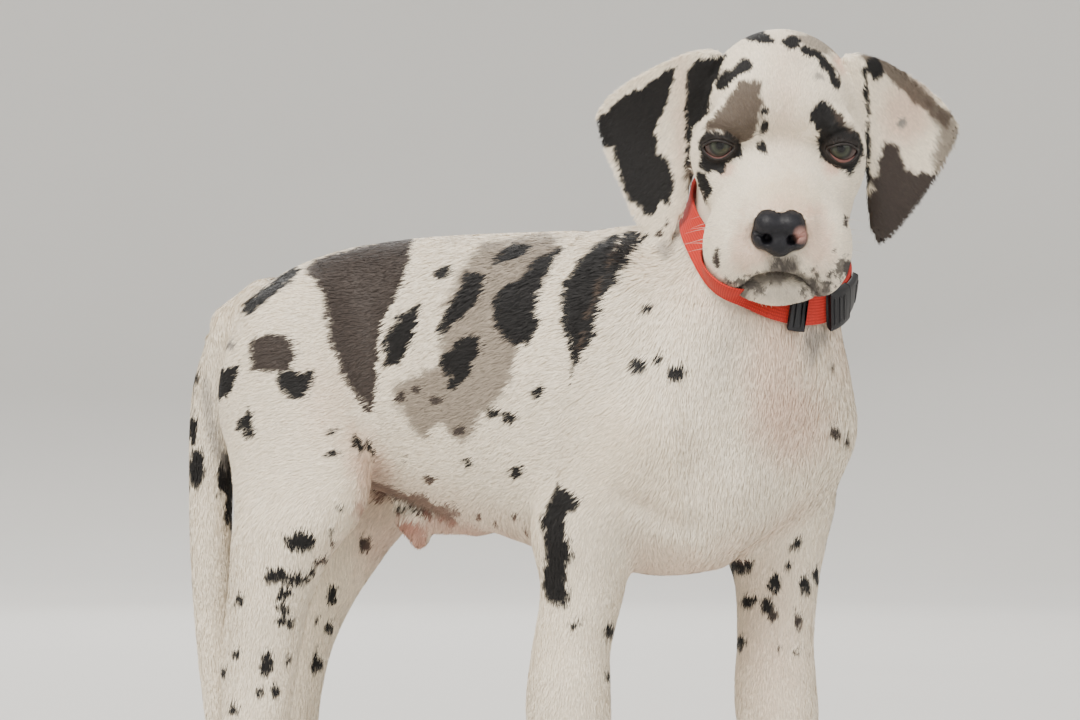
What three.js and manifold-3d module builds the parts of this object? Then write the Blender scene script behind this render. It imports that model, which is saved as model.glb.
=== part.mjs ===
// A young harlequin Great Dane standing, body bent a little to its right and head turned to look out.
// Millimetres, +X towards the head, +Y to the animal's left, +Z up, origin on the floor under the body.
import * as THREE from "three";
import { mergeVertices } from "three/addons/utils/BufferGeometryUtils.js";
import Module from "manifold-3d";

const wasm = await Module();
wasm.setup();

// Numbers that steer the whole animal
const MIDDLE = [-18, -8]; // where the middle of the outline falls in the sculpting frame
const GAP = 0.3; // clear space between touching pieces
const SKULL_AT = [197, -29, 436];
const SKULL_TURN = { yaw: -68.5, pitch: 30, roll: -2 };
const EYE = { x: 30, y: 38, z: 12, radius: 10.5, opening: [20, 14], outward: 10, slant: -8 };
const CELL = { head: 11.5, jaw: 9, nose: 3.8, neck: 18, leg: 15, paw: 10.5, trunk: 24, tail: 13.5 };

// Vector and field helpers. A field is a function of x, y, z that is negative inside the body.
const rad = THREE.MathUtils.degToRad;

// Rows of the matrix that takes a world direction into a frame turned by yaw, pitch (nose down) and roll.
function turned({ yaw = 0, pitch = 0, roll = 0 } = {}) {
  const e = new THREE.Matrix4()
    .makeRotationZ(rad(yaw))
    .multiply(new THREE.Matrix4().makeRotationY(rad(pitch)))
    .multiply(new THREE.Matrix4().makeRotationX(rad(roll))).elements;
  return [e[0], e[1], e[2], e[4], e[5], e[6], e[8], e[9], e[10]];
}

// A field seen from a frame at `at`, turned by `turn`.
function placed(at, turn, field) {
  const [a, b, c, d, e, f, g, h, i] = turned(turn);
  return (x, y, z) => {
    const u = x - at[0],
      v = y - at[1],
      w = z - at[2];
    return field(a * u + b * v + c * w, d * u + e * v + f * w, g * u + h * v + i * w);
  };
}

function egg(at, radii, turn) {
  const [p, q, r] = radii;
  const body = (x, y, z) => {
    const k0 = Math.hypot(x / p, y / q, z / r);
    const k1 = Math.hypot(x / (p * p), y / (q * q), z / (r * r));
    return k1 < 1e-9 ? -Math.min(p, q, r) : (k0 * (k0 - 1)) / k1;
  };
  if (turn) return placed(at, turn, body);
  return (x, y, z) => body(x - at[0], y - at[1], z - at[2]);
}

// A straight piece between two round ends of different radius.
function limb(a, b, ra, rb) {
  const ba = [b[0] - a[0], b[1] - a[1], b[2] - a[2]];
  const l2 = ba[0] ** 2 + ba[1] ** 2 + ba[2] ** 2,
    rr = ra - rb,
    a2 = l2 - rr * rr,
    il2 = 1 / l2;
  return (x, y, z) => {
    const px = x - a[0],
      py = y - a[1],
      pz = z - a[2];
    const s = px * ba[0] + py * ba[1] + pz * ba[2],
      zz = s - l2;
    const qx = px * l2 - ba[0] * s,
      qy = py * l2 - ba[1] * s,
      qz = pz * l2 - ba[2] * s;
    const x2 = qx * qx + qy * qy + qz * qz,
      y2 = s * s * l2,
      z2 = zz * zz * l2;
    const k = Math.sign(rr) * rr * rr * x2;
    if (Math.sign(zz) * a2 * z2 > k) return Math.sqrt(x2 + z2) * il2 - rb;
    if (Math.sign(s) * a2 * y2 < k) return Math.sqrt(x2 + y2) * il2 - ra;
    return (Math.sqrt(x2 * a2 * il2) + s * rr) * il2 - ra;
  };
}

// Smooth curve through stations: each row is [where, value, value, ...].
function curveThrough(rows) {
  const n = rows.length,
    last = rows[n - 1];
  const slope = (i, c) => {
    const lo = rows[Math.max(i - 1, 0)],
      hi = rows[Math.min(i + 1, n - 1)];
    return (hi[c] - lo[c]) / (hi[0] - lo[0]);
  };
  const slopes = rows.map((r, i) => r.map((_, c) => (c ? slope(i, c) : 1)));
  return (t, out) => {
    const u = Math.min(Math.max(t, rows[0][0]), last[0]);
    let i = 0;
    while (i < n - 2 && u > rows[i + 1][0]) i++;
    const p = rows[i],
      q = rows[i + 1],
      h = q[0] - p[0],
      s = (u - p[0]) / h,
      s2 = s * s,
      s3 = s2 * s;
    for (let c = 1; c < p.length; c++)
      out[c - 1] =
        (2 * s3 - 3 * s2 + 1) * p[c] +
        (s3 - 2 * s2 + s) * h * slopes[i][c] +
        (3 * s2 - 2 * s3) * q[c] +
        (s3 - s2) * h * slopes[i + 1][c];
    return t - u;
  };
}

// Distance along the ray from the middle of an oval section of half sizes p, q and squareness n.
function sectionDistance(u, v, p, q, n) {
  const r = Math.hypot(u, v);
  if (r < 1e-6) return -Math.min(p, q);
  const k = (Math.abs(u / p) ** n + Math.abs(v / q) ** n) ** (1 / n);
  return r * (1 - 1 / k);
}

function capped(section, beyond) {
  if (beyond === 0) return section;
  return section > 0 ? Math.hypot(section, beyond) : Math.max(section, Math.abs(beyond) - 0.01);
}

// A body along X. Stations: [x, midline y, half width, top, widest height, bottom].
function barrel(rows, square = 2.2) {
  const at = curveThrough(rows),
    s = [0, 0, 0, 0, 0];
  return (x, y, z) => {
    const beyond = at(x, s);
    const half = z > s[3] ? s[2] - s[3] : s[3] - s[4];
    return capped(sectionDistance(y - s[0], z - s[3], s[1], half, square), beyond);
  };
}

// A body along Z. Stations: [z, middle x, middle y, half length in x, half width in y].
function column(rows, square = 2.1) {
  const at = curveThrough(rows),
    s = [0, 0, 0, 0];
  return (x, y, z) => {
    const beyond = at(z, s);
    return capped(sectionDistance(x - s[0], y - s[1], s[2], s[3], square), beyond);
  };
}

function join(k, ...fields) {
  return (x, y, z) => {
    let d = fields[0](x, y, z);
    for (let i = 1; i < fields.length; i++) {
      const e = fields[i](x, y, z),
        h = Math.max(k - Math.abs(d - e), 0);
      d = Math.min(d, e) - (h * h) / (4 * k);
    }
    return d;
  };
}

// Takes `tool` out of `field`, with a rounded edge of size k.
function carve(k, field, ...tools) {
  return (x, y, z) => {
    let d = field(x, y, z);
    for (const tool of tools) {
      const e = -tool(x, y, z),
        h = Math.max(k - Math.abs(d - e), 0);
      d = Math.max(d, e) + (h * h) / (4 * k);
    }
    return d;
  };
}

// Skips the work of a field where the point is far outside its ball.
function near(at, radius, reach, field) {
  return (x, y, z) => {
    const d = Math.hypot(x - at[0], y - at[1], z - at[2]) - radius;
    return d > reach ? d : field(x, y, z);
  };
}

const SIDES = [
  ["left", 1],
  ["right", -1],
];

// Head, in its own frame: +x to the nose, +y left, +z up, origin in the middle of the skull.
const bothSides = (make) => [make(1), make(-1)];
const headUpper = join(
  9,
  egg([-22, 0, 13], [54, 50, 51]),
  ...bothSides((s) => egg([8, s * 15, 26], [27, 26, 25])),
  ...bothSides((s) => egg([25, s * 31, 25], [11, 15, 8])),
  ...bothSides((s) => egg([4, s * 38, -7], [33, 18, 25])),
  ...bothSides((s) => egg([-12, s * 31, -36], [36, 19, 28])),
  ...bothSides((s) => egg([24, s * 30, -18], [26, 18, 22])),
  barrel(
    [
      [20, 0, 36, 22, -18, -48],
      [40, 0, 34, 11, -22, -50],
      [58, 0, 31, 3, -24, -50],
      [78, 0, 27, 0, -24, -48],
      [92, 0, 22, -4, -23, -43],
    ],
    2.5,
  ),
  ...bothSides((s) => egg([62, s * 27, -43], [30, 20, 31])),
  ...bothSides((s) => egg([82, s * 13, -36], [15, 14, 13])),
);
const jaw = join(8, limb([-6, 0, -50], [72, 0, -62], 22, 13), egg([76, 0, -62], [16, 29, 12.5]));
const nose = placed(
  [90, 0, -16],
  { pitch: -12 },
  carve(
    1.6,
    join(
      4,
      ...bothSides((s) => egg([1, s * 6.5, 6], [12, 9.5, 8.5])),
      ...bothSides((s) => egg([1.5, s * 10.5, -3], [9.5, 6.8, 7.5])),
      egg([1.5, 0, -6], [11, 9, 9]),
    ),
    ...bothSides((s) => egg([11, s * 7.2, -2.5], [8, 3.6, 4])),
    ...bothSides((s) => limb([9.5, s * 9, -0.5], [6, s * 16, 1.2], 1.8, 1.2)),
    limb([13.6, 0, 4], [13.2, 0, -15], 1, 1),
  ),
);
const headSolid = placed(SKULL_AT, SKULL_TURN, headUpper);
const jawSolid = placed(SKULL_AT, SKULL_TURN, jaw);
const noseSolid = placed(SKULL_AT, SKULL_TURN, nose);

// Trunk and neck
const trunk = barrel([
  [-205, 14, 42, 344, 312, 268],
  [-180, 16, 52, 364, 312, 245],
  [-140, 19, 60, 378, 305, 220],
  [-95, 21, 62, 384, 292, 207],
  [-50, 19, 70, 386, 286, 193],
  [0, 13, 79, 386, 282, 178],
  [50, 3, 83, 385, 278, 165],
  [100, -8, 82, 380, 272, 162],
  [145, -18, 66, 356, 266, 172],
]);
const neck = join(
  14,
  limb([154, -6, 308], [175, 4, 362], 68, 50),
  limb([172, 4, 362], [179, 12, 425], 49, 45),
  limb([96, -2, 336], [146, 4, 352], 44, 44),
);
const chest = join(
  16,
  egg([157, -9, 266], [51, 86, 78], { yaw: -38 }),
  egg([126, -12, 214], [62, 56, 50], { yaw: -30 }),
);

// Fore limbs. Each is a shoulder mass, an upper arm and a nearly upright column.
const foreRight = {
  shoulder: join(
    18,
    egg([98, -54, 300], [46, 28, 72], { yaw: -25, pitch: -18 }),
    limb([116, -62, 252], [72, -60, 190], 36, 29),
  ),
  column: column([
    [14, 70, -58, 25, 24],
    [45, 64, -57, 25.5, 25],
    [68, 62, -57, 27.5, 27],
    [88, 62, -57, 27, 26.5],
    [112, 64, -57, 25.5, 25],
    [145, 71, -57, 27, 26],
    [180, 76, -58, 32, 28],
    [205, 82, -58, 34, 27],
    [235, 92, -55, 24, 18],
  ]),
  paw: [70, -60, -38],
};
const foreLeft = {
  shoulder: join(
    18,
    egg([156, 30, 300], [46, 30, 72], { yaw: -25, pitch: -18 }),
    limb([184, 34, 252], [160, 52, 190], 36, 30),
  ),
  column: column([
    [14, 170, 53, 25, 24],
    [45, 165, 53, 25.5, 25],
    [68, 163, 53, 27.5, 27],
    [88, 162, 53, 27, 26.5],
    [112, 162, 53, 25.5, 25],
    [145, 163, 53, 27, 27],
    [180, 163, 52, 32, 29],
    [205, 166, 48, 34, 30],
    [235, 170, 40, 24, 20],
  ]),
  paw: [170, 52, -30],
};
// Hind limbs
const hindRight = {
  thigh: join(
    18,
    egg([-152, -26, 282], [60, 40, 74], { pitch: 14 }),
    egg([-142, -42, 228], [50, 27, 50], { pitch: 20 }),
  ),
  column: column([
    [14, -176, -52, 23, 22],
    [50, -174, -50, 23, 22],
    [80, -172, -48, 25, 22],
    [105, -168, -48, 25, 23],
    [135, -162, -50, 27, 24],
    [165, -154, -52, 34, 27],
    [195, -144, -50, 43, 29],
    [225, -142, -44, 40, 24],
    [255, -142, -38, 22, 14],
  ]),
  cord: join(
    4,
    limb([-176, -50, 175], [-193, -48, 96], 12, 9),
    limb([-193, -48, 96], [-176, -49, 70], 9, 12),
  ),
  paw: [-168, -54, 4],
};
const hindLeft = {
  thigh: join(
    18,
    egg([-168, 56, 282], [58, 38, 74], { pitch: 14 }),
    egg([-158, 70, 228], [50, 27, 50], { pitch: 24 }),
  ),
  column: column([
    [14, -222, 78, 23, 22],
    [50, -220, 76, 23, 22],
    [80, -216, 75, 25, 22],
    [105, -208, 75, 25, 23],
    [135, -194, 76, 27, 24],
    [165, -178, 77, 33, 27],
    [195, -164, 76, 42, 29],
    [225, -160, 72, 40, 24],
    [255, -160, 68, 22, 14],
  ]),
  cord: join(4, limb([-206, 77, 175], [-236, 75, 98], 12, 9), limb([-236, 75, 98], [-222, 75, 70], 9, 12)),
  paw: [-214, 80, 8],
};

// A paw: four arched toes on a pad, the outer two set back. paw = [x, y, yaw in degrees].
const TOES = [
  { y: -20, tip: 17, splay: -8 },
  { y: -7, tip: 25, splay: -2 },
  { y: 7, tip: 25, splay: 2 },
  { y: 20, tip: 17, splay: 8 },
];
const PAW_SCALE = { fore: 1.06, hind: 0.97 };
const toeSpot = (toe, x, z) => [x, toe.y + Math.tan(rad(toe.splay)) * (x + 10), z];
function pawField(paw, scale) {
  const toes = TOES.map((toe) =>
    join(
      3,
      limb(toeSpot(toe, toe.tip - 26, 24), toeSpot(toe, toe.tip - 9, 21), 9.5, 10.2),
      limb(toeSpot(toe, toe.tip - 9, 21), toeSpot(toe, toe.tip, 10.5), 10.2, 9.4),
    ),
  );
  const body = join(3, join(8, egg([-9, 0, 22], [24, 23, 20]), egg([-8, 0, 9], [18, 18, 10])), ...toes);
  const sized = (x, y, z) => scale * body(x / scale, y / scale, z / scale);
  return placed([paw[0], paw[1], 0], { yaw: paw[2] }, sized);
}

const tail = join(
  6,
  limb([-200, 15, 338], [-226, 14, 326], 22, 18),
  column([
    [16, -236, 10, 4, 4],
    [40, -238, 10, 7, 7],
    [90, -241, 10, 11, 10],
    [150, -244, 11, 14, 13],
    [220, -245, 12, 15.5, 15],
    [280, -242, 13, 16.5, 16],
    [322, -229, 14, 17, 17],
  ]),
);
const sheath = join(
  8,
  limb([-40, 17, 196], [-88, 19, 198], 13, 14),
  limb([-88, 19, 198], [-84, 18, 182], 12, 8),
);

function legField(leg, scale, k) {
  const lower = [leg.column, pawField(leg.paw, scale)];
  if (leg.cord) lower.push(leg.cord);
  return join(k, leg.shoulder || leg.thigh, join(8, ...lower));
}
const legs = [
  near([100, -57, 160], 190, 40, legField(foreRight, PAW_SCALE.fore, 18)),
  near([164, 45, 160], 190, 40, legField(foreLeft, PAW_SCALE.fore, 18)),
  near([-160, -45, 160], 190, 40, legField(hindRight, PAW_SCALE.hind, 16)),
  near([-185, 68, 160], 190, 40, legField(hindLeft, PAW_SCALE.hind, 16)),
];
const body = join(14, join(24, trunk, chest, neck), ...legs, sheath);
const flesh = join(12, body, near([200, -45, 420], 120, 30, headSolid));

// The twelve edges of a grid cell, as pairs of corner numbers, and for each face its corners in order.
const CORNERS = [0, 1, 2, 3, 4, 5, 6, 7].map((c) => [c & 1, (c >> 1) & 1, c >> 2]);
const EDGES = CORNERS.flatMap((_, a) => [1, 2, 4].filter((bit) => !(a & bit)).map((bit) => [a, a | bit]));
const edgeBetween = (a, b) => EDGES.findIndex(([p, q]) => p === Math.min(a, b) && q === Math.max(a, b));
const FACES = [
  [1, 2, 4],
  [2, 4, 1],
  [4, 1, 2],
].flatMap(([u, v, w]) => [0, w].map((base) => [base, base | u, base | u | v, base | v]));

// Splits the crossed edges of a cell into loops, so that two sheets in one cell get a vertex each.
function loopsOf(inside) {
  const label = EDGES.map((_, e) => e);
  const root = (e) => (label[e] === e ? e : root(label[e]));
  for (const face of FACES) {
    const crossed = face.map((a, s) => {
      const b = face[(s + 1) % 4];
      return inside[a] !== inside[b] ? edgeBetween(a, b) : -1;
    });
    const hits = crossed.filter((e) => e >= 0);
    if (hits.length === 2) label[root(hits[0])] = root(hits[1]);
    if (hits.length === 4)
      for (let s = 0; s < 4; s++) if (inside[face[s]]) label[root(crossed[s])] = root(crossed[(s + 3) % 4]);
  }
  return EDGES.map(([a, b], e) => (inside[a] !== inside[b] ? root(e) : -1));
}
const loopTable = new Map();

// Surface of a field as a closed mesh: a vertex for each sheet in each grid cell, moved onto the surface.
function polygonise(field, low, high, cell) {
  const n = low.map((v, i) => Math.ceil((high[i] - v) / cell) + 1);
  const at = (i, j, k) => i + n[0] * (j + n[1] * k);
  const value = new Float32Array(n[0] * n[1] * n[2]);
  for (let k = 0; k < n[2]; k++)
    for (let j = 0; j < n[1]; j++)
      for (let i = 0; i < n[0]; ) {
        const v = field(low[0] + i * cell, low[1] + j * cell, low[2] + k * cell);
        const skip = Math.max(1, Math.floor((0.55 * Math.abs(v)) / cell));
        for (let m = 0; m < skip && i < n[0]; m++, i++) {
          const rim = !i || !j || !k || i === n[0] - 1 || j === n[1] - 1 || k === n[2] - 1;
          value[at(i, j, k)] = rim ? Math.max(v, 0.05 * cell) : v;
        }
      }
  const points = [],
    verticesIn = new Map();
  for (let k = 0; k < n[2] - 1; k++)
    for (let j = 0; j < n[1] - 1; j++)
      for (let i = 0; i < n[0] - 1; i++) {
        let code = 0;
        CORNERS.forEach(([a, b, c], corner) => {
          if (value[at(i + a, j + b, k + c)] < 0) code |= 1 << corner;
        });
        if (code === 0 || code === 255) continue;
        const inside = CORNERS.map((_, c) => ((code >> c) & 1) === 1);
        if (!loopTable.has(code)) loopTable.set(code, loopsOf(inside));
        const loops = loopTable.get(code),
          v = CORNERS.map(([a, b, c]) => value[at(i + a, j + b, k + c)]),
          made = new Map();
        EDGES.forEach(([a, b], e) => {
          if (loops[e] < 0) return;
          if (!made.has(loops[e])) made.set(loops[e], [0, 0, 0, 0]);
          const sum = made.get(loops[e]),
            t = v[a] / (v[a] - v[b]);
          for (let c = 0; c < 3; c++) sum[c] += CORNERS[a][c] + t * (CORNERS[b][c] - CORNERS[a][c]);
          sum[3]++;
        });
        const index = new Map();
        for (const [loop, sum] of made) {
          index.set(loop, points.length / 3);
          points.push(...[i, j, k].map((q, c) => low[c] + (q + sum[c] / sum[3]) * cell));
        }
        verticesIn.set(at(i, j, k), loops.map((loop) => (loop < 0 ? -1 : index.get(loop))));
      }
  const inner = (p) => p.every((v, c) => v > low[c] + 1.6 * cell && v < low[c] + (n[c] - 2.6) * cell);
  const step = 0.5;
  for (let p = 0; p < points.length; p += 3) {
    const start = [points[p], points[p + 1], points[p + 2]];
    if (!inner(start)) continue;
    let [x, y, z] = start;
    for (let round = 0; round < 3; round++) {
      const d = field(x, y, z),
        g = [
          field(x + step, y, z) - field(x - step, y, z),
          field(x, y + step, z) - field(x, y - step, z),
          field(x, y, z + step) - field(x, y, z - step),
        ].map((q) => q / (2 * step));
      const g2 = Math.max(g[0] ** 2 + g[1] ** 2 + g[2] ** 2, 0.2);
      x -= (d * g[0]) / g2;
      y -= (d * g[1]) / g2;
      z -= (d * g[2]) / g2;
    }
    if (Math.hypot(x - start[0], y - start[1], z - start[2]) > 0.6 * cell) continue;
    points[p] = x;
    points[p + 1] = y;
    points[p + 2] = z;
  }
  const faces = [];
  const gap = (p, r) => Math.hypot(...[0, 1, 2].map((m) => points[3 * p + m] - points[3 * r + m]));
  const quad = (q) => {
    if (gap(q[0], q[2]) < gap(q[1], q[3])) faces.push(q[0], q[1], q[2], q[0], q[2], q[3]);
    else faces.push(q[1], q[2], q[3], q[1], q[3], q[0]);
  };
  // Around a crossed edge along one axis lie four cells; the other two axes follow in turn.
  const unit = [1, n[0], n[0] * n[1]];
  for (let k = 0; k < n[2] - 1; k++)
    for (let j = 0; j < n[1] - 1; j++)
      for (let i = 0; i < n[0] - 1; i++)
        for (let axis = 0; axis < 3; axis++) {
          if ([i, j, k].some((q, c) => c !== axis && q === 0)) continue;
          const here = at(i, j, k),
            solid = value[here] < 0;
          if (solid === value[here + unit[axis]] < 0) continue;
          const u = (axis + 1) % 3,
            v = (axis + 2) % 3;
          const ring = [
            [0, 0],
            [1, 0],
            [1, 1],
            [0, 1],
          ].map(([p, q]) => {
            const from = (p << u) | (q << v);
            return verticesIn.get(here - p * unit[u] - q * unit[v])[edgeBetween(from, from | (1 << axis))];
          });
          quad(solid ? ring : ring.reverse());
        }
  return closedSolid(new Float32Array(points), faces);
}

function closedSolid(points, faces) {
  const mesh = new wasm.Mesh({ numProp: 3, vertProperties: points, triVerts: new Uint32Array(faces) });
  return new wasm.Manifold(mesh);
}

function geometryOf(solid) {
  const m = solid.getMesh(),
    points = new Float32Array(m.numVert * 3);
  for (let i = 0; i < m.numVert; i++) {
    const from = i * m.numProp;
    points.set(m.vertProperties.subarray(from, from + 3), i * 3);
  }
  return new THREE.BufferGeometry()
    .setAttribute("position", new THREE.BufferAttribute(points, 3))
    .setIndex(new THREE.BufferAttribute(m.triVerts, 1));
}

// Closed solid from a three.js geometry.
function solidOf(geometry) {
  const bare = new THREE.BufferGeometry().setAttribute("position", geometry.getAttribute("position"));
  if (geometry.index) bare.setIndex(geometry.index);
  const g = mergeVertices(bare, 1e-3),
    idx = g.index.array,
    kept = [];
  for (let t = 0; t < idx.length; t += 3) {
    const [p, q, r] = [idx[t], idx[t + 1], idx[t + 2]];
    if (p !== q && q !== r && r !== p) kept.push(p, q, r);
  }
  return closedSolid(new Float32Array(g.getAttribute("position").array), kept);
}
function block(low, high) {
  const size = low.map((v, i) => high[i] - v),
    middle = low.map((v, i) => (v + high[i]) / 2);
  return solidOf(new THREE.BoxGeometry(...size).translate(...middle));
}
const largest = (solid) => solid.decompose().sort((p, q) => q.volume() - p.volume())[0];

// Head frame to sculpting frame
const headMatrix = new THREE.Matrix4()
  .makeTranslation(...SKULL_AT)
  .multiply(new THREE.Matrix4().makeRotationZ(rad(SKULL_TURN.yaw)))
  .multiply(new THREE.Matrix4().makeRotationY(rad(SKULL_TURN.pitch)))
  .multiply(new THREE.Matrix4().makeRotationX(rad(SKULL_TURN.roll)));

const dog = new THREE.Group();
dog.position.set(-MIDDLE[0], -MIDDLE[1], 0);
const paint = (color, roughness) => new THREE.MeshStandardMaterial({ color, roughness });
const coat = paint(0xe9e2d4, 0.75);
const horn = paint(0x6b5a4c, 0.45);
const noseLeather = paint(0x22222a, 0.35);
const eyeball = paint(0x4a5044, 0.12);
const strapRed = paint(0xc9241a, 0.8);
const buckleBlack = paint(0x17171a, 0.5);
function add(name, solid, material) {
  const mesh = new THREE.Mesh(geometryOf(solid), material);
  mesh.name = name;
  dog.add(mesh);
}

// Cutting planes: unit normal and offset, the kept side is along the normal.
const plane = (normal, through) => {
  const n = new THREE.Vector3(...normal).normalize();
  return [n.toArray(), n.dot(new THREE.Vector3(...through))];
};
const above = (solid, [n, d], gap = GAP / 2) => solid.trimByPlane(n, d + gap);
const below = (solid, [n, d], gap = GAP / 2) =>
  solid.trimByPlane(
    n.map((v) => -v),
    -(d - gap),
  );
const COLLAR = {
  normal: [0.562, -0.309, 0.767],
  through: [178.7, 0.3, 372.2],
  half: 8,
  thick: 2.6,
  stand: 1.7,
};
const BUCKLE = [
  ["collar_buckle_slider", -26, -17, 9.6, 3.4],
  ["collar_buckle_body", 0, 22, 10, 5.4],
  ["collar_buckle_tongue", 23, 44, 8.6, 4.6],
];
const headPlane = plane(COLLAR.normal, [178.7, 0.3, 384.7]);
const neckPlane = plane([0.55, -0.15, 0.82], [140, -8, 335]);
const midPlane = plane([1, 0, 0], [-20, 0, 0]);
const tailPlane = plane([-1, 0, 0], [-213, 0, 0]);
const level = (z) => plane([0, 0, 1], [0, 0, z]);

// Ball joints for the eyes, with lids that leave an almond opening
const eyeAt = (s) => new THREE.Vector3(EYE.x, s * EYE.y, EYE.z).applyMatrix4(headMatrix);
const ball = (radius) => new THREE.SphereGeometry(radius, 16, 10);
function lidded(head, s) {
  const frameOf = headMatrix
    .clone()
    .multiply(new THREE.Matrix4().makeTranslation(EYE.x, s * EYE.y, EYE.z))
    .multiply(new THREE.Matrix4().makeRotationZ(rad(s * EYE.outward)))
    .multiply(new THREE.Matrix4().makeRotationX(rad(s * EYE.slant)));
  const half = EYE.opening[0] / 2,
    tall = EYE.opening[1] / 2;
  const rim = (t, r) => {
    const c = Math.cos(t),
      q = Math.sin(t) * (1 - 0.35 * c * c),
      y = half * c,
      z = tall * q;
    return new THREE.Vector3(Math.sqrt(Math.max(r * r - y * y - z * z, 1)), y, z);
  };
  const margin = Array.from({ length: 20 }, (_, i) => rim((i / 20) * 2 * Math.PI, EYE.radius + 1.2));
  const edge = new THREE.CatmullRomCurve3(margin, true);
  const welt = new THREE.TubeGeometry(edge, 24, 1.5, 6, true).applyMatrix4(frameOf);
  const outline = Array.from({ length: 20 }, (_, i) => rim((i / 20) * 2 * Math.PI, 50));
  const almond = new THREE.Shape(outline.map((p) => new THREE.Vector2(p.y, p.z)));
  const axes = [new THREE.Vector3(0, 1, 0), new THREE.Vector3(0, 0, 1), new THREE.Vector3(1, 0, 0)];
  const window = new THREE.ExtrudeGeometry(almond, { depth: 30, bevelEnabled: false })
    .applyMatrix4(new THREE.Matrix4().makeBasis(...axes))
    .applyMatrix4(frameOf);
  return head
    .add(solidOf(ball(EYE.radius + 1.7).applyMatrix4(frameOf)))
    .subtract(solidOf(window))
    .add(solidOf(welt))
    .subtract(solidOf(ball(EYE.radius + GAP).applyMatrix4(frameOf)));
}

// Ears: a thin leaf with the ear's outline, cupped behind and a little thicker at its root
const EAR_OUTLINE = {
  right: [
    [-38, 52], [-61, 53], [-88, 34], [-109, 14], [-118, -2], [-113, -17], [-101, -39],
    [-88, -59], [-77, -71], [-67, -62], [-57, -40], [-52, -15], [-44, 12],
  ],
  left: [
    [38, 52], [60, 53], [86, 35], [106, 14], [116, -2], [111, -17], [97, -36],
    [80, -53], [66, -62], [59, -50], [57, -31], [54, -8], [44, 20],
  ],
};
const EAR_MIDDLE = { right: [-78, -6], left: [78, -4] };
function earLeaf(side) {
  const s = side === "left" ? 1 : -1;
  const corners = EAR_OUTLINE[side].map(([y, z]) => new THREE.Vector3(0, y, z));
  const rim = new THREE.CatmullRomCurve3(corners, true, "catmullrom", 0.4);
  const around = 26,
    rings = 7,
    g = new THREE.SphereGeometry(1, around, rings),
    p = g.getAttribute("position"),
    [my, mz] = EAR_MIDDLE[side];
  for (let i = 0; i < p.count; i++) {
    const x = p.getX(i),
      y = p.getY(i),
      z = p.getZ(i),
      reach = Math.min(Math.hypot(x, z), 1),
      t = reach < 1e-5 ? 0 : (Math.atan2(z, x) / (2 * Math.PI) + 1) % 1,
      edge = rim.getPointAt(t),
      fill = Math.sin((reach * Math.PI) / 2),
      py = my + (edge.y - my) * fill,
      pz = mz + (edge.z - mz) * fill;
    p.setXYZ(i, earSheet(s * py, pz) + (s < 0 ? -y : y) * earThick(s * py, pz), py, pz);
  }
  return g.applyMatrix4(headMatrix);
}
// Where the leaf lies, outward distance u and height z in the head frame.
function earSheet(u, z) {
  const far = Math.max(u - 44, 0),
    fold = 5 * Math.exp(-(((u - 62) / 22) ** 2)),
    hang = 0.29 * (Math.hypot(z, 20) - z - 20);
  return -16 - 0.1 * far - 0.0032 * far * far + fold + hang;
}
const earThick = (u, z) => 2 + 3.2 * Math.exp(-(((u - 44) / 14) ** 2) - ((z - 36) / 26) ** 2);

// Collar: a strap round the neck in its own plane, found by walking out to the skin
const collarNormal = new THREE.Vector3(...COLLAR.normal).normalize();
const collarAhead = new THREE.Vector3(0.9, -0.42, 0).projectOnPlane(collarNormal).normalize();
const collarSide = new THREE.Vector3().crossVectors(collarNormal, collarAhead);
const collarMiddle = new THREE.Vector3(...COLLAR.through);
function skinOut(angle, lift) {
  const dir = collarAhead.clone().multiplyScalar(Math.cos(angle));
  dir.addScaledVector(collarSide, Math.sin(angle));
  let r = 20;
  for (let i = 0; i < 60; i++) {
    const p = collarMiddle.clone().addScaledVector(collarNormal, lift).addScaledVector(dir, r);
    const d = flesh(p.x, p.y, p.z);
    r += Math.abs(d) < 0.01 ? 0 : -d * 0.7;
  }
  return { r, dir };
}
function band(from, to, lowEdge, highEdge, inner, outer, steps) {
  const closed = to - from > 2 * Math.PI - 1e-6,
    count = closed ? steps : steps + 1,
    points = [],
    index = [];
  for (let i = 0; i < count; i++) {
    const a = from + ((to - from) * i) / steps;
    for (const [lift, off] of [
      [lowEdge, inner],
      [lowEdge, outer],
      [highEdge, outer],
      [highEdge, inner],
    ]) {
      const { r, dir } = skinOut(a, lift);
      const p = collarMiddle.clone().addScaledVector(collarNormal, lift).addScaledVector(dir, r + off);
      points.push(p.x, p.y, p.z);
    }
  }
  for (let i = 0; i < steps; i++)
    for (let c = 0; c < 4; c++) {
      const a = 4 * i + c,
        b = 4 * i + ((c + 1) % 4),
        j = 4 * ((i + 1) % count);
      index.push(a, j + c, b, b, j + c, j + ((c + 1) % 4));
    }
  if (!closed) {
    const e = 4 * steps;
    index.push(0, 1, 2, 0, 2, 3, e, e + 2, e + 1, e, e + 3, e + 2);
  }
  const g = new THREE.BufferGeometry();
  g.setAttribute("position", new THREE.BufferAttribute(new Float32Array(points), 3));
  g.setIndex(index);
  return solidOf(g);
}

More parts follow.
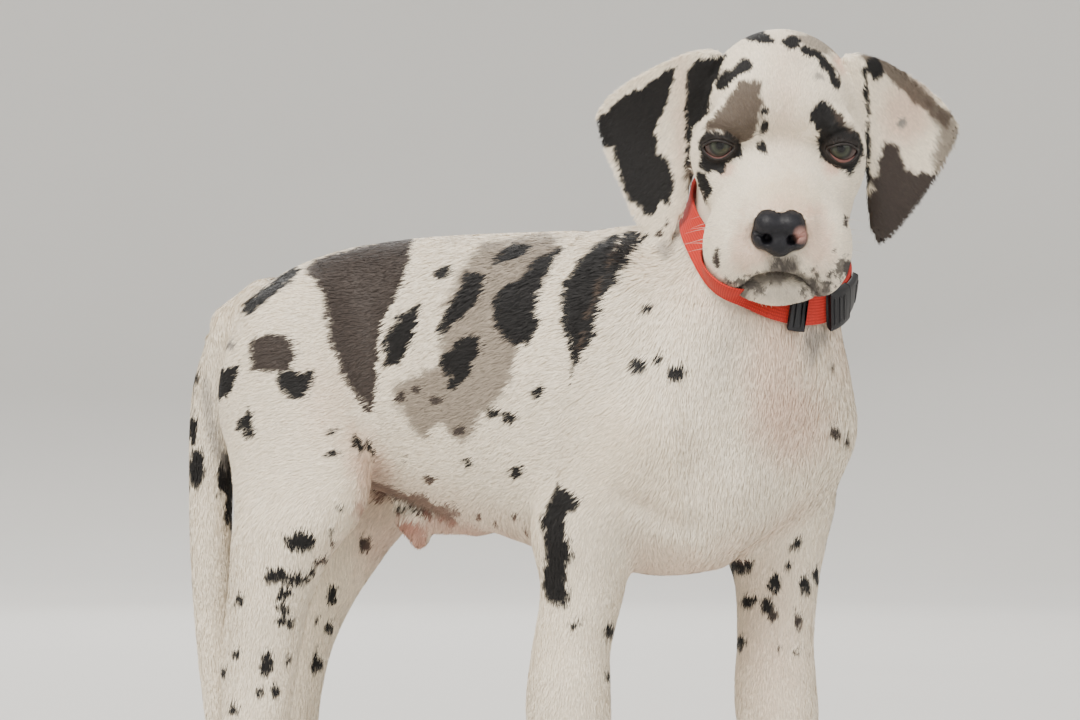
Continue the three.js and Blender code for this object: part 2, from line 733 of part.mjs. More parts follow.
// Solids cut from the one flesh field
const HEAD_BOX = [
  [100, -165, 300],
  [262, 70, 512],
];
const headFlesh = polygonise(flesh, ...HEAD_BOX, CELL.head);
function muzzleBlock(grow) {
  const box = new THREE.BoxGeometry(90 + grow, 130 + grow, 86 + grow).translate(103, 0, -33);
  return solidOf(box.applyMatrix4(headMatrix));
}
let headPart = above(headFlesh, headPlane).add(headFlesh.intersect(muzzleBlock(0)));
const NOSE_BOX = [
  [195, -150, 350],
  [262, -85, 420],
];
const grown = (field, by) => (x, y, z) => field(x, y, z) - by;
const nosePart = polygonise(noseSolid, ...NOSE_BOX, CELL.nose);
const noseGrown = polygonise(grown(noseSolid, GAP + 0.05), ...NOSE_BOX, CELL.nose);
headPart = lidded(lidded(headPart, 1), -1).subtract(noseGrown);
const headGrown = polygonise(grown(flesh, GAP + 0.1), ...HEAD_BOX, CELL.head);
const ring = (half, inner, outer) => band(0, 2 * Math.PI, -half, half, inner, outer, 40);
const strapOuter = COLLAR.stand + COLLAR.thick;
const strapGroove = ring(COLLAR.half + 2.5, -1.4, 11.5);
const strapRoom = strapGroove.add(ring(COLLAR.half + GAP, COLLAR.stand - 2 * GAP, strapOuter + GAP));
headPart = largest(headPart.subtract(strapRoom).subtract(nosePart));
const clear = (solid, ...others) => largest(others.reduce((rest, other) => rest.subtract(other), solid));
const jawWhole = polygonise(jawSolid, [130, -140, 310], [250, 20, 430], CELL.jaw);
const jawPart = clear(jawWhole, headGrown, noseGrown, headPart, strapRoom);
add("head", headPart, coat);
add("lower_jaw", jawPart, coat);
add("nose", largest(nosePart), noseLeather);
const neckSolid = largest(
  below(above(polygonise(flesh, [60, -110, 250], [280, 110, 470], CELL.neck), neckPlane), headPlane)
    .subtract(muzzleBlock(2 * GAP))
    .subtract(strapRoom),
);
add("neck", neckSolid, coat);
for (const [side, s] of SIDES) {
  add("ear_" + side, clear(solidOf(earLeaf(side)), headGrown, headPart, neckSolid, strapRoom), coat);
  add("eye_" + side, solidOf(ball(EYE.radius).translate(...eyeAt(s).toArray())), eyeball);
}

const trunkPart = polygonise(body, [-290, -130, 130], [290, 140, 470], CELL.trunk);
const LEG_BOX = {
  fore_right: [[10, -130, -20], [118, -25, 200]],
  fore_left: [[118, 14, -20], [245, 130, 200]],
  hind_right: [[-300, -130, -20], [-106, 17, 230]],
  hind_left: [[-300, 17, -20], [-106, 150, 230]],
};
const shrunk = ([low, high], by) => block(low.map((v) => v + by), high.map((v) => v - by));
let barrelPart = below(trunkPart, neckPlane);
for (const box of Object.values(LEG_BOX)) barrelPart = barrelPart.subtract(shrunk(box, -GAP / 2));
add("torso_front", largest(above(barrelPart, midPlane)), coat);
add("torso_rear", largest(below(below(barrelPart, midPlane), tailPlane)), coat);

// Legs in three lengths, a paw with four claws each
const CLAW = { size: [8.5, 3, 3.6] };
function clawSolid(paw, scale, toe, grow) {
  const g = new THREE.SphereGeometry(1, 7, 5),
    p = g.getAttribute("position");
  for (let i = 0; i < p.count; i++) {
    const [length, width, height] = CLAW.size.map((v) => v + grow),
      x = p.getX(i) * length,
      taper = 1 - 0.35 * p.getX(i),
      droop = 0.03 * x * x + 0.25 * x;
    p.setXYZ(i, x, p.getY(i) * width * taper, p.getZ(i) * height * taper - droop);
  }
  return solidOf(
    g
      .rotateZ(rad(toe.splay))
      .translate(...toeSpot(toe, toe.tip + 8, 10.5))
      .scale(scale, scale, scale)
      .rotateZ(rad(paw[2]))
      .translate(paw[0], paw[1], 0),
  );
}
for (const [name, leg, scale] of [
  ["fore_right", foreRight, PAW_SCALE.fore],
  ["fore_left", foreLeft, PAW_SCALE.fore],
  ["hind_right", hindRight, PAW_SCALE.hind],
  ["hind_left", hindLeft, PAW_SCALE.hind],
]) {
  const [low, high] = LEG_BOX[name],
    knee = name.startsWith("fore") ? 118 : 140,
    wrist = 46;
  const reach = 1.5 * CELL.leg,
    [x0, y0] = low.map((v) => v - reach),
    [x1, y1, z1] = high.map((v) => v + reach),
    room = shrunk(LEG_BOX[name], GAP / 2);
  const whole = polygonise(body, [x0, y0, 24], [x1, y1, z1], CELL.leg).intersect(room);
  add(name + "_upper", largest(above(whole, level(knee))), coat);
  add(name + "_lower", largest(above(below(whole, level(knee)), level(wrist))), coat);
  let foot = polygonise(body, [x0, y0, -12], [x1, y1, wrist + 12], CELL.paw).intersect(room);
  foot = below(above(foot, level(0), 0), level(wrist));
  TOES.forEach((toe, i) => {
    foot = foot.subtract(clawSolid(leg.paw, scale, toe, GAP));
    add(`${name}_claw_${i + 1}`, clawSolid(leg.paw, scale, toe, 0), horn);
  });
  add(name + "_paw", largest(foot), coat);
}

// Tail in three lengths
const tailSolid = polygonise(join(12, tail, body), [-290, -30, -8], [-180, 50, 372], CELL.tail);
const rumpGrown = polygonise(grown(body, GAP + 0.1), [-290, -30, 130], [-160, 60, 372], CELL.tail);
const tailCuts = [
  ["tail_root", 235, 400],
  ["tail_middle", 110, 235],
  ["tail_tip", -20, 110],
];
for (const [name, from, to] of tailCuts) {
  const part = above(tailSolid, tailPlane).subtract(rumpGrown);
  add(name, largest(above(below(part, level(to)), level(from))), coat);
}

add("collar_strap", ring(COLLAR.half, COLLAR.stand, strapOuter), strapRed);
// Side-release buckle over the strap: a wide body, a narrower tongue and a slider bar
const overStrap = strapOuter + GAP;
for (const [name, from, to, half, thick] of BUCKLE)
  add(name, band(rad(from), rad(to), -half, half, overStrap, overStrap + thick, 8), buckleBlack);

// The middle of the outline goes over the origin
const outline = new THREE.Box3().setFromObject(dog);
const middle = outline.getCenter(new THREE.Vector3());
dog.position.x -= middle.x;
dog.position.y -= middle.y;
dog.position.z = -outline.min.z;

export default dog;
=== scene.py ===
import math

import bpy
import numpy as np
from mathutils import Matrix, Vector


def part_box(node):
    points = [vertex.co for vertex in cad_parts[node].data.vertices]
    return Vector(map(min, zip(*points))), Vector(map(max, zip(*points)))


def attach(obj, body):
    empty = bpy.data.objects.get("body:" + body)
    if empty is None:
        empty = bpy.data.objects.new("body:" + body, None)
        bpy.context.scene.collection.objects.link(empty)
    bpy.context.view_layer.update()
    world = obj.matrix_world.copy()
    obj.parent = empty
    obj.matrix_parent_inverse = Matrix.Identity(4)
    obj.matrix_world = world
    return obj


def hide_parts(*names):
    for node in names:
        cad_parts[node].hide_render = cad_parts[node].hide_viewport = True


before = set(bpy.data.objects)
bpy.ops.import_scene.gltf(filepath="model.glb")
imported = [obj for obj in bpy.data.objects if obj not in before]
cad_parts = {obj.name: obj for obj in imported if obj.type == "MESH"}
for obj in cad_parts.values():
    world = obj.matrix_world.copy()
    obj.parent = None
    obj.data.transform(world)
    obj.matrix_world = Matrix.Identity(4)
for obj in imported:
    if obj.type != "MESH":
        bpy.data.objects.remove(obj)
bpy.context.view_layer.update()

# A young harlequin Great Dane. Forms are signed distance fields in millimetres in the sculpting frame
# (+X to the chest, +Y to the animal's left, +Z up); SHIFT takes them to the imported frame.
SKULL_AT = (197, -29, 436)
SKULL_TURN = dict(yaw=-68.5, pitch=30, roll=-2)
EYE = dict(x=30, y=38, z=12, radius=10.5, opening=(19.5, 12.4), outward=10, slant=-8)
COLLAR = dict(normal=(0.562, -0.309, 0.767), through=(178.7, 0.3, 372.2), half=8, thick=2.6, stand=1.7)
BUCKLE = dict(slider=(-26, -17, 9.6, 3.4), body=(0, 22, 10, 5.4), tongue=(23, 44, 8.6, 4.6))
CAMERA = dict(azimuth=25, distance=2300, pivot=(15, 0), height=240, horizon=90, focal=3450)
NOSE_AT = (90, 0, -19)
HEAD_JOIN = 12
COAT_DEPTH, HEAD_COAT_DEPTH = 0.9, 0.45
BODY_CELL, HEAD_CELL, NOSE_CELL = 3.2, 1.45, 0.7
OVERLAP = 4
LIDS = dict(thick=1.5, blend=4, edge=1.2, seat=2.2, reach=26)
MOUTH_GROOVE = dict(deep=0.9, wide=1.3)
MUZZLE_FROM = 58
STRAP_BARE = (-9, 19)
TUFTS_PER_PIECE = 95000
UV_PATCH = 0.0015
RNG = np.random.default_rng(14)
CLAW_NODES = [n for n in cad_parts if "claw" in n]
FLESH = [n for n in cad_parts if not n.startswith(("collar", "eye", "nose")) and n not in CLAW_NODES]


# Turns and fields
def rotation(axis, degrees):
    c, s = math.cos(math.radians(degrees)), math.sin(math.radians(degrees))
    m = {
        "x": [[1, 0, 0], [0, c, -s], [0, s, c]],
        "y": [[c, 0, s], [0, 1, 0], [-s, 0, c]],
        "z": [[c, -s, 0], [s, c, 0], [0, 0, 1]],
    }
    return np.array(m[axis], float)


def turned(yaw=0, pitch=0, roll=0):
    return rotation("z", yaw) @ rotation("y", pitch) @ rotation("x", roll)


HEAD = turned(**SKULL_TURN)
to_head = lambda p: (p - np.array(SKULL_AT)) @ HEAD
from_head = lambda p: np.asarray(p, float) @ HEAD.T + np.array(SKULL_AT)


def placed(at, turn, field):
    m = turned(**turn)
    return lambda p: field((p - np.array(at, float)) @ m)


def egg(at, radii, turn=None):
    r = np.array(radii, float)

    def body(p):
        q = p / r
        k0 = np.sqrt((q * q).sum(1))
        q = q / r
        k1 = np.sqrt((q * q).sum(1))
        return np.where(k1 < 1e-9, -r.min(), k0 * (k0 - 1) / np.maximum(k1, 1e-9))

    if turn:
        return placed(at, turn, body)
    return lambda p: body(p - np.array(at, float))


def limb(a, b, ra, rb):
    a, b = np.array(a, float), np.array(b, float)
    ba = b - a
    l2, rr = float(ba @ ba), ra - rb
    a2, il2 = l2 - rr * rr, 1 / l2

    def body(p):
        q = p - a
        s = q @ ba
        z = s - l2
        w = q * l2 - ba * s[:, None]
        x2, y2, z2 = (w * w).sum(1), s * s * l2, z * z * l2
        k = np.sign(rr) * rr * rr * x2
        far = np.sqrt(x2 + z2) * il2 - rb
        close = np.sqrt(x2 + y2) * il2 - ra
        side = (np.sqrt(x2 * a2 * il2) + s * rr) * il2 - ra
        return np.where(np.sign(z) * a2 * z2 > k, far, np.where(np.sign(s) * a2 * y2 < k, close, side))

    return body


def curve_through(rows):
    r = np.array(rows, float)
    n = len(r)
    lo, hi = r[np.maximum(np.arange(n) - 1, 0)], r[np.minimum(np.arange(n) + 1, n - 1)]
    slopes = (hi[:, 1:] - lo[:, 1:]) / (hi[:, :1] - lo[:, :1])

    def at(t):
        u = np.clip(t, r[0, 0], r[-1, 0])
        i = np.clip(np.searchsorted(r[:, 0], u, side="left") - 1, 0, n - 2)
        h = (r[i + 1, 0] - r[i, 0])[:, None]
        s = (u[:, None] - r[i, :1]) / h
        s2, s3 = s * s, s * s * s
        v = (2 * s3 - 3 * s2 + 1) * r[i, 1:] + (s3 - 2 * s2 + s) * h * slopes[i]
        v += (3 * s2 - 2 * s3) * r[i + 1, 1:] + (s3 - s2) * h * slopes[i + 1]
        return v.T, t - u

    return at


def section_distance(u, v, p, q, n):
    r = np.hypot(u, v)
    k = (np.abs(u / p) ** n + np.abs(v / q) ** n) ** (1 / n)
    return np.where(r < 1e-6, -np.minimum(p, q), r * (1 - 1 / np.maximum(k, 1e-9)))


def capped(section, beyond):
    out = np.where(section > 0, np.hypot(section, beyond), np.maximum(section, np.abs(beyond) - 0.01))
    return np.where(beyond == 0, section, out)


def barrel(rows, square=2.2):
    at = curve_through(rows)

    def body(p):
        (mid, wide, top, widest, low), beyond = at(p[:, 0])
        half = np.where(p[:, 2] > widest, top - widest, widest - low)
        return capped(section_distance(p[:, 1] - mid, p[:, 2] - widest, wide, half, square), beyond)

    return body


def column(rows, square=2.1):
    at = curve_through(rows)

    def body(p):
        (mx, my, lx, wy), beyond = at(p[:, 2])
        return capped(section_distance(p[:, 0] - mx, p[:, 1] - my, lx, wy, square), beyond)

    return body


def smooth_min(k, a, b):
    h = np.maximum(k - np.abs(a - b), 0)
    return np.minimum(a, b) - h * h / (4 * k)


def smooth_max(k, a, b):
    return -smooth_min(k, -a, -b)


def join(k, *fields):
    def body(p):
        d = fields[0](p)
        for f in fields[1:]:
            d = smooth_min(k, d, f(p))
        return d

    return body


def carve(k, field, *tools):
    def body(p):
        d = field(p)
        for tool in tools:
            d = smooth_max(k, d, -tool(p))
        return d

    return body


def near(at, radius, reach, field):
    def body(p):
        d = np.sqrt(((p - np.array(at, float)) ** 2).sum(1)) - radius
        close = d <= reach
        if close.any():
            d[close] = field(p[close])
        return d

    return body


def both_sides(make):
    return [make(1), make(-1)]


def egg_pair(x, y, z, *radii):
    return both_sides(lambda s: egg([x, s * y, z], radii))


# Head, in its own frame
head_upper = join(
    9,
    egg([-22, 0, 13], [54, 50, 51]),
    *egg_pair(8, 15, 26, 27, 26, 25),
    *egg_pair(25, 31, 25, 11, 15, 8),
    *egg_pair(4, 38, -7, 33, 18, 25),
    *egg_pair(-12, 31, -36, 36, 19, 28),
    *egg_pair(24, 30, -18, 26, 18, 22),
    barrel(
        [
            [20, 0, 36, 22, -18, -48],
            [40, 0, 34, 11, -22, -50],
            [58, 0, 31, 3, -24, -50],
            [78, 0, 27, 0, -24, -48],
            [92, 0, 22, -4, -23, -43],
        ],
        2.5,
    ),
    *egg_pair(62, 27, -43, 30, 20, 31),
    *egg_pair(82, 13, -36, 15, 14, 13),
)
jaw = join(8, limb([-6, 0, -50], [72, 0, -62], 22, 13), egg([76, 0, -62], [16, 29, 12.5]))
nose = placed(
    NOSE_AT,
    dict(pitch=-12),
    carve(
        1.6,
        join(
            4,
            *egg_pair(1, 6.5, 6, 12, 9.5, 8.5),
            *egg_pair(1.5, 10.5, -3, 9.5, 6.8, 7.5),
            egg([1.5, 0, -6], [11, 9, 9]),
        ),
        *egg_pair(11, 7.8, -2.5, 8, 3.1, 3.3),
        *both_sides(lambda s: limb([9.5, s * 9, -0.5], [6, s * 16, 1.2], 1.8, 1.2)),
        limb([13.6, 0, 4], [13.2, 0, -15], 1, 1),
    ),
)

# Trunk, neck, limbs
trunk = barrel(
    [
        [-205, 14, 42, 344, 312, 268],
        [-180, 16, 52, 364, 312, 245],
        [-140, 19, 60, 378, 305, 220],
        [-95, 21, 62, 384, 292, 207],
        [-50, 19, 70, 386, 286, 193],
        [0, 13, 79, 386, 282, 178],
        [50, 3, 83, 385, 278, 165],
        [100, -8, 82, 380, 272, 162],
        [145, -18, 66, 356, 266, 172],
    ]
)
neck = join(14, limb([154, -6, 308], [175, 4, 362], 68, 50), limb([172, 4, 362], [179, 12, 425], 49, 45),
    limb([96, -2, 336], [146, 4, 352], 44, 44))
chest = join(16, egg([157, -9, 266], [51, 86, 78], dict(yaw=-38)),
    egg([126, -12, 214], [62, 56, 50], dict(yaw=-30)))

FORE_RIGHT = dict(
    mass=join(18, egg([98, -54, 300], [46, 28, 72], dict(yaw=-25, pitch=-18)),
        limb([116, -62, 252], [72, -60, 190], 36, 29)),
    column=[[14, 70, -58, 25, 24], [45, 64, -57, 25.5, 25], [68, 62, -57, 27.5, 27],
        [88, 62, -57, 27, 26.5], [112, 64, -57, 25.5, 25], [145, 71, -57, 27, 26], [180, 76, -58, 32, 28],
        [205, 82, -58, 34, 27], [235, 92, -55, 24, 18]],
    paw=(70, -60, -38),
    scale=1.06,
    k=18,
)
FORE_LEFT = dict(
    mass=join(18, egg([156, 30, 300], [46, 30, 72], dict(yaw=-25, pitch=-18)),
        limb([184, 34, 252], [160, 52, 190], 36, 30)),
    column=[[14, 170, 53, 25, 24], [45, 165, 53, 25.5, 25], [68, 163, 53, 27.5, 27],
        [88, 162, 53, 27, 26.5], [112, 162, 53, 25.5, 25], [145, 163, 53, 27, 27], [180, 163, 52, 32, 29],
        [205, 166, 48, 34, 30], [235, 170, 40, 24, 20]],
    paw=(170, 52, -30),
    scale=1.06,
    k=18,
)
HIND_RIGHT = dict(
    mass=join(18, egg([-152, -26, 282], [60, 40, 74], dict(pitch=14)),
        egg([-142, -42, 228], [50, 27, 50], dict(pitch=20))),
    column=[[14, -176, -52, 23, 22], [50, -174, -50, 23, 22], [80, -172, -48, 25, 22],
        [105, -168, -48, 25, 23], [135, -162, -50, 27, 24], [165, -154, -52, 34, 27],
        [195, -144, -50, 43, 29], [225, -142, -44, 40, 24], [255, -142, -38, 22, 14]],
    cord=join(4, limb([-176, -50, 175], [-193, -48, 96], 12, 9),
        limb([-193, -48, 96], [-176, -49, 70], 9, 12)),
    paw=(-168, -54, 4),
    scale=0.97,
    k=16,
)
HIND_LEFT = dict(
    mass=join(18, egg([-168, 56, 282], [58, 38, 74], dict(pitch=14)),
        egg([-158, 70, 228], [50, 27, 50], dict(pitch=24))),
    column=[[14, -222, 78, 23, 22], [50, -220, 76, 23, 22], [80, -216, 75, 25, 22], [105, -208, 75, 25, 23],
        [135, -194, 76, 27, 24], [165, -178, 77, 33, 27], [195, -164, 76, 42, 29], [225, -160, 72, 40, 24],
        [255, -160, 68, 22, 14]],
    cord=join(4, limb([-206, 77, 175], [-236, 75, 98], 12, 9), limb([-236, 75, 98], [-222, 75, 70], 9, 12)),
    paw=(-214, 80, 8),
    scale=0.97,
    k=16,
)
LEGS = dict(fore_right=FORE_RIGHT, fore_left=FORE_LEFT, hind_right=HIND_RIGHT, hind_left=HIND_LEFT)
TOES = [dict(y=-20, tip=17, splay=-8), dict(y=-7, tip=25, splay=-2), dict(y=7, tip=25, splay=2),
    dict(y=20, tip=17, splay=8)]


def toe_spot(toe, x, z):
    return [x, toe["y"] + math.tan(math.radians(toe["splay"])) * (x + 10), z]


def paw_field(paw, scale):
    toes = [
        join(
            3,
            limb(toe_spot(t, t["tip"] - 26, 24), toe_spot(t, t["tip"] - 9, 21), 9.5, 10.2),
            limb(toe_spot(t, t["tip"] - 9, 21), toe_spot(t, t["tip"], 10.5), 10.2, 9.4),
        )
        for t in TOES
    ]
    foot = join(3, join(8, egg([-9, 0, 22], [24, 23, 20]), egg([-8, 0, 9], [18, 18, 10])), *toes)
    return placed([paw[0], paw[1], 0], dict(yaw=paw[2]), lambda p: scale * foot(p / scale))


def leg_field(leg):
    parts = [column(leg["column"]), paw_field(leg["paw"], leg["scale"])]
    if "cord" in leg:
        parts.append(leg["cord"])
    return join(leg["k"], leg["mass"], join(8, *parts))


LEG_AT = dict(fore_right=[100, -57, 160], fore_left=[164, 45, 160], hind_right=[-160, -45, 160],
    hind_left=[-185, 68, 160])
leg_fields = {n: near(LEG_AT[n], 190, 40, leg_field(LEGS[n])) for n in LEGS}
tail = join(
    6,
    limb([-200, 15, 338], [-226, 14, 326], 22, 18),
    column([[16, -236, 10, 4, 4], [40, -238, 10, 7, 7], [90, -241, 10, 11, 10], [150, -244, 11, 14, 13],
        [220, -245, 12, 15.5, 15], [280, -242, 13, 16.5, 16], [322, -229, 14, 17, 17]]),
)
sheath = join(8, limb([-40, 17, 196], [-88, 19, 198], 13, 14), limb([-88, 19, 198], [-84, 18, 182], 12, 8))
torso = join(24, trunk, chest, neck)
body = join(14, torso, *leg_fields.values(), sheath)
nose_world = placed(SKULL_AT, SKULL_TURN, nose)


# Ears: a thin leaf over a bent sheet, rooted on the skull
EAR_OUTLINE = dict(
    right=[(-38, 52), (-61, 53), (-88, 34), (-109, 14), (-118, -2), (-113, -17), (-101, -39), (-88, -59),
        (-77, -71), (-67, -62), (-57, -40), (-52, -15), (-44, 12)],
    left=[(38, 52), (60, 53), (86, 35), (106, 14), (116, -2), (111, -17), (97, -36), (80, -53), (66, -62),
        (59, -50), (57, -31), (54, -8), (44, 20)],
)


def closed_curve(points, per=5, tension=0.4):
    p = np.array(points, float)
    n = len(p)
    out = []
    for i in range(n):
        a, b, c, d = p[i - 1], p[i], p[(i + 1) % n], p[(i + 2) % n]
        t = (np.arange(per) / per)[:, None]
        t2, t3 = t**2, t**3
        m0, m1 = (c - a) * tension, (d - b) * tension
        ends = (2 * t3 - 3 * t2 + 1) * b + (t3 - 2 * t2 + t) * m0
        out.append(ends + (3 * t2 - 2 * t3) * c + (t3 - t2) * m1)
    return np.vstack(out)


def inside_distance(points, loop):
    """Signed distance in the plane to a closed loop, negative inside."""
    best = np.full(len(points), 1e9)
    inside = np.zeros(len(points), bool)
    for a, b in zip(loop, np.roll(loop, -1, 0)):
        e, w = b - a, points - a
        t = np.clip((w @ e) / max(float(e @ e), 1e-12), 0, 1)
        best = np.minimum(best, ((w - t[:, None] * e) ** 2).sum(1))
        if a[1] != b[1]:
            passes = (a[1] > points[:, 1]) != (b[1] > points[:, 1])
            meets = (b[0] - a[0]) * (points[:, 1] - a[1]) / (b[1] - a[1]) + a[0]
            inside ^= passes & (points[:, 0] < meets)
    return np.where(inside, -1, 1) * np.sqrt(best)


def ear_sheet(u, z):
    far = np.maximum(u - 44, 0)
    fold = 5 * np.exp(-(((u - 62) / 22) ** 2))
    return -16 - 0.1 * far - 0.0032 * far * far + fold + 0.29 * (np.hypot(z, 20) - z - 20)


def ear_thick(u, z):
    return 2 + 3.2 * np.exp(-(((u - 44) / 14) ** 2) - ((z - 36) / 26) ** 2)


EAR_LOOP = {side: closed_curve(p) for side, p in EAR_OUTLINE.items()}


def ear(side):
    s = 1 if side == "left" else -1

    def leaf(p):
        u, z = s * p[:, 1], p[:, 2]
        edge = inside_distance(p[:, 1:3], EAR_LOOP[side])
        thick = ear_thick(u, z)
        inner = np.clip(-edge / 7, 0, 1)
        half = thick * (0.35 + 0.65 * np.sqrt(inner))
        flat = (np.abs(p[:, 0] - ear_sheet(u, z)) - half) * 0.85
        return np.where((flat > 0) & (edge > -0.6), np.hypot(flat, edge + 0.6), np.maximum(flat, edge))

    return near([-10, s * 80, -5], 78, 12, leaf)


ears = {side: ear(side) for side in ("left", "right")}


# Eyes
def eye_frame(s):
    turn = rotation("z", s * EYE["outward"]) @ rotation("x", s * EYE["slant"])
    return np.array([EYE["x"], s * EYE["y"], EYE["z"]], float), turn


def almond(t, r, widen=0.0):
    half, tall = EYE["opening"][0] / 2 + widen, EYE["opening"][1] / 2 + widen
    y = half * np.cos(t)
    z = tall * np.sin(t) * (1 - 0.35 * np.cos(t) ** 2)
    return np.stack([np.sqrt(np.maximum(r * r - y * y - z * z, 1)), y, z], -1)


ALMOND = almond(np.linspace(0, 2 * np.pi, 40, endpoint=False), 50)[:, 1:]


head_plain = near([200, -45, 420], 120, 30, placed(SKULL_AT, SKULL_TURN, head_upper))
tail_near = near([-225, 12, 185], 190, 40, tail)
bare_flesh = join(HEAD_JOIN, body, head_plain)


def lids(c, v):
    """Lids over each eyeball with an almond opening, a fold above, and a seat for the ball."""
    for s in (1, -1):
        at, m = eye_frame(s)
        close = ((c - at) ** 2).sum(1) < LIDS["reach"] ** 2
        if not close.any():
            continue
        q, w = (c[close] - at) @ m, v[close]
        r = np.sqrt((q * q).sum(1))
        w = smooth_min(LIDS["blend"], w, r - (EYE["radius"] + LIDS["thick"]))
        window = np.where(q[:, 0] > 0, inside_distance(q[:, 1:], ALMOND), 9)
        w = smooth_max(LIDS["edge"], w, -window)
        fold = np.abs(np.hypot(q[:, 1] / 13.5, (q[:, 2] - 1) / 11.5) - 1) * 12
        w += np.where((q[:, 0] > 0) & (q[:, 2] > 0), 0.7 * np.exp(-((fold / 1.6) ** 2)), 0)
        v[close] = np.maximum(w, EYE["radius"] - LIDS["seat"] - r)
    return v


# Hollows of the coat's surface: two ends, depth and half width
HOLLOWS = [
    ((84, -84, 372), (70, -88, 300), 2.6, 9),
    ((70, -88, 300), (62, -80, 222), 2.6, 9),
    ((-78, -70, 262), (-84, -52, 210), 3.0, 8),
    ((112, -80, 212), (150, -66, 190), 2.4, 9),
    ((176, -60, 300), (168, -50, 232), 2.2, 10),
    ((200, -26, 300), (196, -20, 240), 1.8, 8),
    ((-176, -78, 250), (-150, -74, 200), 1.5, 10),
]


def hollow(p):
    d = np.zeros(len(p))
    for a, b, deep, wide in HOLLOWS:
        e = np.array(b, float) - a
        t = np.clip((p - a) @ e / (e @ e), 0, 1)
        far = ((p - a - t[:, None] * e) ** 2).sum(1) / wide**2
        d += np.where(far < 9, deep * np.exp(-far), 0)
    return d


def flesh(p):
    d = bare_flesh(p) + hollow(p)
    if (p[:, 0] < -140).any():
        d = smooth_min(12, d, tail_near(p))
    q = to_head(p)
    close = (np.abs(q[:, 1]) < 135) & (np.abs(q[:, 0]) < 140) & (np.abs(q[:, 2]) < 125)
    if close.any():
        c, v = q[close], d[close]
        v = smooth_min(5, v, np.minimum(ears["left"](c), ears["right"](c)))
        v = lids(c, v)
        low = jaw(c)
        groove = MOUTH_GROOVE["deep"] * np.exp(-(((v - low) / MOUTH_GROOVE["wide"]) ** 2))
        v = np.minimum(v, low) + groove * (np.maximum(v, low) < 8)
        tip = ((c - np.array(NOSE_AT)) ** 2).sum(1) < 32**2
        v[tip] = smooth_max(1.0, v[tip], -0.6 - nose(c[tip]))
        d[close] = v
    return d


# Corners and edges of a cell
CORNER = np.array([[c & 1, (c >> 1) & 1, c >> 2] for c in range(8)])
EDGES = [(a, a | bit) for a in range(8) for bit in (1, 2, 4) if not a & bit]


def surface(field, low, high, cell, block=4):
    """A closed surface of a field as quads, worked out only in the blocks that it passes through."""
    low = np.array(low, float)
    nb = np.ceil((np.array(high) - low) / (cell * block)).astype(int)
    n = nb * block + 1
    blocks = np.stack(np.meshgrid(*[np.arange(k) for k in nb], indexing="ij"), -1).reshape(-1, 3)
    coarse = field(low + (blocks + 0.5) * block * cell)
    active = (np.abs(coarse) < 1.45 * block * cell).reshape(nb)
    value = np.where(coarse > 0, 1.0, -1.0).reshape(nb)
    for axis in range(3):
        value = np.repeat(value, block, axis)
    value = np.pad(value, ((0, 1),) * 3, mode="edge").astype(np.float32)
    wanted = np.zeros(n, bool)
    for i, j, k in np.argwhere(active) * block:
        wanted[i : i + block + 1, j : j + block + 1, k : k + block + 1] = True
    spots = np.argwhere(wanted)
    found = np.concatenate([field(low + spots[i : i + 200000] * cell) for i in range(0, len(spots), 200000)])
    value[tuple(spots.T)] = found
    inside = value < 0
    m = n - 1
    code = sum(inside[c[0] : c[0] + m[0], c[1] : c[1] + m[1], c[2] : c[2] + m[2]].astype(np.uint8)
        for c in CORNER)
    cells = np.argwhere((code > 0) & (code < 8))
    v = np.stack([value[tuple((cells + c).T)] for c in CORNER], 1)
    total, count = np.zeros((len(cells), 3)), np.zeros(len(cells))
    for a, b in EDGES:
        crossed = (v[:, a] < 0) != (v[:, b] < 0)
        t = np.where(crossed, v[:, a] / np.where(crossed, v[:, a] - v[:, b], 1), 0)
        total += crossed[:, None] * (CORNER[a] + t[:, None] * (CORNER[b] - CORNER[a]))
        count += crossed
    verts = low + (cells + total / count[:, None]) * cell
    index = np.full(n, -1, np.int32)
    index[tuple(cells.T)] = np.arange(len(cells))
    quads = []
    step = np.eye(3, dtype=int)
    for axis in range(3):
        u, w = (axis + 1) % 3, (axis + 2) % 3
        crossed = inside != np.roll(inside, -1, axis)
        crossed[tuple(slice(-1, None) if q == axis else slice(None) for q in range(3))] = False
        at = np.argwhere(crossed)
        at = at[(at[:, u] > 0) & (at[:, w] > 0)]
        around = (0 * step[u], step[u], step[u] + step[w], step[w])
        ring = np.stack([index[tuple((at - d).T)] for d in around], 1)
        flip = ~inside[tuple(at.T)]
        ring[flip] = ring[flip][:, ::-1]
        quads.append(ring[(ring >= 0).all(1)])
    return settle(field, verts, cell), np.vstack(quads)


def slope(field, p, step=0.4):
    g = np.empty((len(p), 3))
    for c in range(3):
        e = np.zeros(3)
        e[c] = step
        g[:, c] = (field(p + e) - field(p - e)) / (2 * step)
    return g


def settle(field, verts, cell, rounds=3):
    start, p = verts, verts.copy()
    for _ in range(rounds):
        d, g = field(p), slope(field, p)
        p = p - (d / np.maximum((g * g).sum(1), 0.2))[:, None] * g
    moved = np.sqrt(((p - start) ** 2).sum(1))
    return np.where((moved < 0.9 * cell)[:, None], p, start)


def unit(v):
    return v / np.maximum(np.linalg.norm(v, axis=-1, keepdims=True), 1e-12)


eye_low, eye_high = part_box("eye_right")
eye_centre = np.array([float(c) * 1000 for c in (eye_low + eye_high) / 2])
SHIFT = eye_centre - from_head([EYE["x"], -EYE["y"], EYE["z"]])


def to_metres(p):
    return (np.asarray(p, float) + SHIFT) / 1000


def in_scene(name, data):
    ob = bpy.data.objects.new(name, data)
    bpy.context.scene.collection.objects.link(ob)
    return ob


